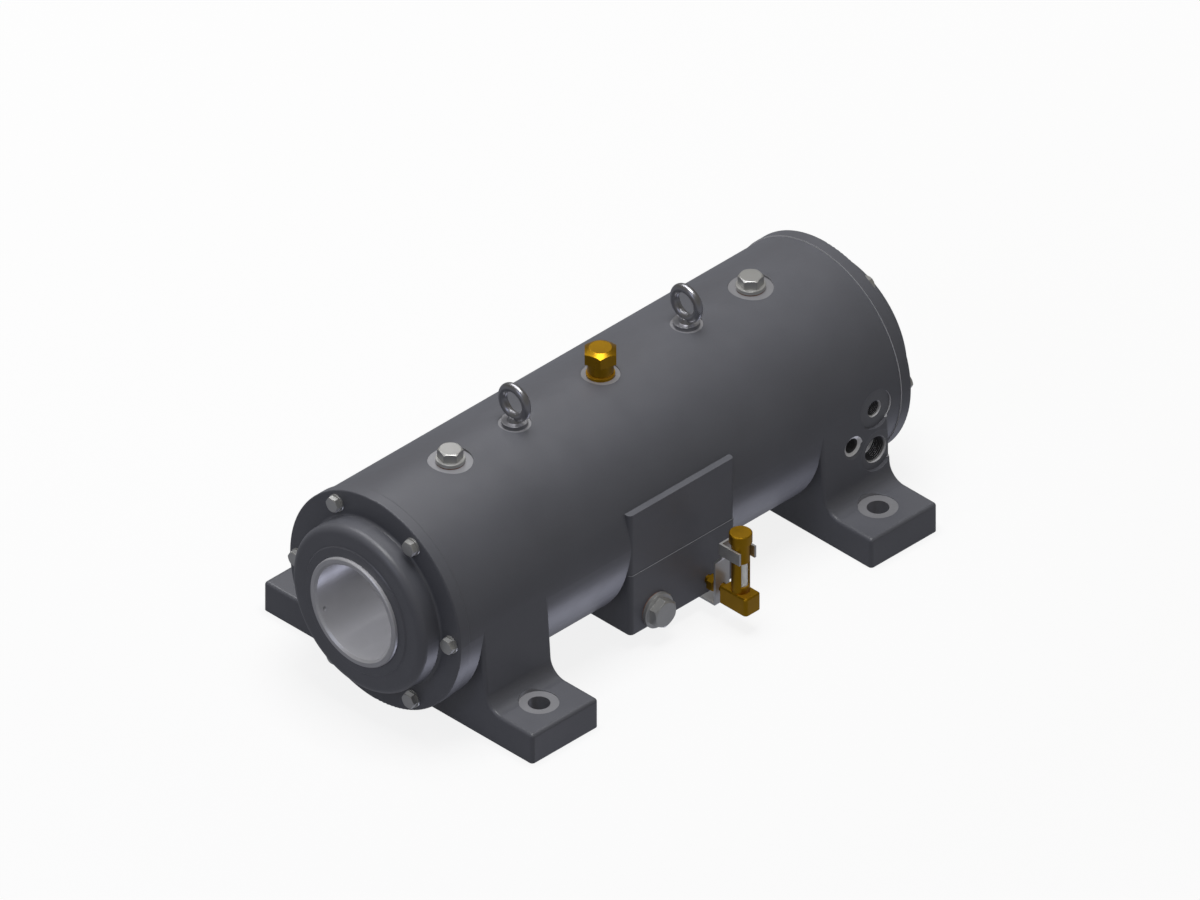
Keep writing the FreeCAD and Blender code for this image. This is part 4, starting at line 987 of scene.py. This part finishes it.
@dataclass
class EndCover:
    """One end of the unit: its cover, screws, seals and the rings round the shaft.

    Attributes:
        end: which end it is.
        bore_radius: the radius inside which the cover is machined.
        bore_end: the distance from the middle up to which its bore is machined.
        spigot_end: the distance from the middle up to which its spigot and seat reach.
        barrel_radius: the radius of the barrel, past which the cover's seat stands out.
        pieces: the other pieces of this end and their finishes.
    """

    end: End
    bore_radius: float = 0.0715
    bore_end: float = 0.3655
    spigot_end: float = 0.3235
    barrel_radius: float = 0.125
    pieces: Outfit = (
        ("_cover_cord", CORD_RUBBER),
        ("_cover_screws", BRIGHT_ZINC),
        ("_cover_washers", BRIGHT_ZINC),
        ("_labyrinth_sleeve", TURNED_STEEL),
        ("_retaining_ring", SPRING_STEEL),
        ("_oil_flinger", TURNED_STEEL),
    )

    def on_spigot(self, points: Sequence[Vector]) -> bool:
        """Whether a face is part of the cover's spigot or seat."""
        return all(abs(point.y) < self.spigot_end for point in points)

    def on_rim(self, points: Sequence[Vector]) -> bool:
        """Whether a face is part of the seat's freshly faced rim, which stands out past the barrel."""
        return self.on_spigot(points) and any(from_axis(point) > self.barrel_radius for point in points)

    def in_machined(self, points: Sequence[Vector]) -> bool:
        """Whether a face of the cover is machined: its bore, its spigot or its seat."""
        return self.on_spigot(points) or all(
            from_axis(point) < self.bore_radius and abs(point.y) < self.bore_end for point in points)

    def build(self) -> None:
        """Dresses the pieces of this end."""
        dress_patches(dress_node(self.end.value + "_cover", IRON_PAINT),
                      [(FACED_IRON, self.on_rim), (machined("cover", Axis.Y, SHAFT_LINE), self.in_machined)])
        dress_nodes(self.pieces, self.end.value)


@dataclass
class Bearing:
    """One rolling bearing.

    Attributes:
        end: which end it is at.
        rolling: what rolls in it.
    """

    end: End
    rolling: Rolling

    def build(self) -> None:
        """Dresses the rings, the cage and what rolls."""
        dress_nodes((("outer_ring", GROUND_STEEL), ("inner_ring", GROUND_STEEL), ("cage", CAGE_BRASS),
                     (self.rolling.value, GROUND_STEEL)), self.end.value + "_bearing_")


@dataclass
class TopFittings:
    """What stands on top of the barrel, and the drain plug.

    Attributes:
        at_each_end: the pieces that are there at each end.
        single: the pieces that are there once.
    """

    at_each_end: Outfit = (
        ("_filler_plug_seal", FIBRE_RING),
        ("_filler_plug", BRIGHT_ZINC),
        ("_eye_bolt", FORGED_STEEL),
    )
    single: Outfit = (
        ("drain_plug_seal", FIBRE_RING),
        ("drain_plug", BRIGHT_ZINC),
        ("breather_body", FITTING_BRASS),
        ("breather_cap", FITTING_BRASS),
    )

    def build(self) -> None:
        """Dresses the plugs, the eye bolts and the breather."""
        for end in End:
            dress_nodes(self.at_each_end, end.value)
        dress_nodes(self.single)


@dataclass
class LevelGauge:
    """The oil level gauge on the side of the sump.

    Attributes:
        pieces: its pieces and their finishes.
    """

    pieces: Outfit = (
        ("_connector", FITTING_BRASS),
        ("_elbow", FITTING_BRASS),
        ("_guard_tube", FITTING_BRASS),
        ("_cap", FITTING_BRASS),
        ("_glass", CLEAR_GLASS),
        ("_bracket", ROLLED_SHEET),
        ("_bracket_screw", BRIGHT_ZINC),
    )

    def build(self) -> None:
        """Dresses the gauge and its bracket."""
        dress_nodes(self.pieces, "gauge")


@dataclass
class Lamp:
    """A soft square lamp.

    Attributes:
        name: its name.
        place: where it is.
        size: its side.
        power: its power in watts.
        colour: its colour.
        target: what it points at.
        lights: the solids that it lights, or none for all.
        shadows: whether what is in its way stops its light.
    """

    name: str
    place: Point
    size: float
    power: float
    colour: Colour = WHITE
    target: Point = (0.0, 0.0, 0.1)
    lights: Tuple[str, ...] = ()
    shadows: bool = True

    def build(self) -> None:
        """Hangs the lamp."""
        light = bpy.data.lights.new(self.name, "AREA")
        light.shape = "SQUARE"
        light.size = self.size
        light.energy = self.power
        light.color = self.colour
        light.use_shadow = self.shadows
        thing = bpy.data.objects.new(self.name, light)
        bpy.context.scene.collection.objects.link(thing)
        thing.location = self.place
        way = Vector(self.target) - Vector(self.place)
        thing.rotation_euler = way.to_track_quat("-Z", "Y").to_euler()
        if self.lights:
            lit = bpy.data.collections.new(self.name + "_lights")
            for node in self.lights:
                lit.objects.link(frame["nodes"][node])
            thing.light_linking.receiver_collection = lit


@dataclass
class Studio:
    """The pale floor, the lamps, the surroundings and the camera.

    Attributes:
        view_point: the point in the middle of the picture.
        toward: the direction from there to the camera.
        view_width: the width of the picture at the object.
        distance: how far away the camera is.
        view_depth: how far the camera sees.
        floor_size: the floor's side.
        floor_gap: how far the floor lies under the feet, so that the two don't share a plane.
        floor_pale: the floor's own colour to the eye, which takes the unit's shadow.
        floor_white: how much of it is plain white to the eye, near the unit and far from it.
        floor_reach: how far from the middle near ends and far starts.
        floor_bounce: the floor's colour in the light that it throws back.
        floor_mirrored: its colour where it is mirrored in the unit.
        glow: its brightness there.
        sky_colour: the colour of the surroundings' light.
        sky: the brightness of the surroundings.
        lamps: the lamps.
    """

    view_point: Point = (-0.00037, -0.00037, 0.15383)
    toward: Point = (0.57735, -0.57735, 0.57735)
    view_width: float = 1.25655
    distance: float = 4.0
    view_depth: float = 50.0
    floor_size: float = 30.0
    floor_gap: float = 0.2 * MM
    floor_pale: Colour = (0.9, 0.9, 0.9)
    floor_white: Range = (0.82, 1.0)
    floor_reach: Range = (0.6, 1.8)
    floor_bounce: Colour = (0.42, 0.42, 0.44)
    floor_mirrored: Colour = (0.89, 0.91, 1.0)
    glow: float = 0.27
    sky_colour: Colour = (1.0, 0.97, 0.90)
    sky: float = 0.20
    lamps: Tuple[Lamp, ...] = (
        Lamp("overhead", (0.0, 0.0, 2.9), 1.4, 47.0),
        Lamp("back", (-1.47, 0.44, 2.45), 1.4, 24.0, (0.97, 0.97, 1.0), shadows=False),
        Lamp("fill", (0.3, -2.3, 1.75), 0.9, 6.0, (0.70, 0.76, 1.0)),
        Lamp("table", (0.45, 0.88, -1.45), 0.5, 4.0, (0.80, 0.82, 1.0), (0.12, -0.2, 0.1), shadows=False),
        Lamp("bore", (0.10, -0.45, 1.5), 0.8, 12.0, target=(0.0, -0.33, 0.128), shadows=False,
             lights=("front_labyrinth_sleeve", "front_bearing_inner_ring", "front_oil_flinger")),
    )

    def floor_material(self) -> bpy.types.Material:
        """The floor's look: white to the eye with a faint shadow, dim in mirrored light, and clear from below.

        Returns:
            The material.
        """
        material = bpy.data.materials.new("floor")
        graph = Graph(material)
        path = graph.node("ShaderNodeLightPath").outputs
        reach = graph.node("ShaderNodeVectorMath", operation="LENGTH")
        graph.feed(reach.inputs[0], graph.spot())
        white = graph.spread(reach.outputs["Value"], *self.floor_white, *self.floor_reach)
        seen = graph.choose(white, graph.plain("ShaderNodeBsdfDiffuse", self.floor_pale),
                            graph.plain("ShaderNodeEmission", WHITE, 1.0))
        unseen = graph.choose(path["Is Glossy Ray"], graph.plain("ShaderNodeBsdfDiffuse", self.floor_bounce),
                              graph.plain("ShaderNodeEmission", self.floor_mirrored, self.glow))
        straight = graph.math("MAXIMUM", path["Is Camera Ray"], path["Is Transmission Ray"])
        graph.show(graph.choose(graph.node("ShaderNodeNewGeometry").outputs["Backfacing"],
                                graph.choose(straight, unseen, seen),
                                graph.plain("ShaderNodeBsdfTransparent", WHITE)))
        return material

    def lay_floor(self) -> None:
        """Lays the floor."""
        half = self.floor_size / 2
        corners = [(x * half, y * half, -self.floor_gap) for x, y in ((-1, -1), (1, -1), (1, 1), (-1, 1))]
        mesh = bpy.data.meshes.new("floor")
        mesh.from_pydata(corners, [], [(0, 1, 2, 3)])
        mesh.materials.append(self.floor_material())
        floor = bpy.data.objects.new("floor", mesh)
        bpy.context.scene.collection.objects.link(floor)

    def light_up(self) -> None:
        """Hangs the lamps and sets the surroundings, which are white to the eye."""
        for lamp in self.lamps:
            lamp.build()
        world = bpy.data.worlds.new("studio")
        bpy.context.scene.world = world
        graph = Graph(world, "ShaderNodeOutputWorld")
        graph.show(graph.choose(graph.node("ShaderNodeLightPath").outputs["Is Camera Ray"],
                                graph.plain("ShaderNodeBackground", self.sky_colour, self.sky),
                                graph.plain("ShaderNodeBackground", WHITE, 1.0)))

    def set_camera(self) -> None:
        """Sets up the camera, which looks down on the front end and the sump side with no perspective."""
        data = bpy.data.cameras.new("camera")
        data.type = "ORTHO"
        data.ortho_scale = self.view_width
        data.clip_end = self.view_depth
        camera = bpy.data.objects.new("camera", data)
        bpy.context.scene.collection.objects.link(camera)
        way = Vector(self.toward).normalized()
        camera.location = Vector(self.view_point) + way * self.distance
        camera.rotation_euler = (-way).to_track_quat("-Z", "Y").to_euler()
        bpy.context.scene.camera = camera

    def build(self) -> None:
        """Builds the studio."""
        self.set_camera()
        self.lay_floor()
        self.light_up()
        bpy.context.scene.view_settings.view_transform = "Standard"
        LOG.info("studio: %d lamps", len(self.lamps))


def main() -> None:
    """Builds the studio and dresses each sub-assembly in turn."""
    logging.basicConfig(level=logging.INFO, format="%(name)s %(message)s")
    Studio().build()
    Casting().build()
    for end in End:
        EndCover(end).build()
    Bearing(End.FRONT, Rolling.ROLLERS).build()
    Bearing(End.REAR, Rolling.BALLS).build()
    TopFittings().build()
    LevelGauge().build()


if __name__ == "__main__":
    main()
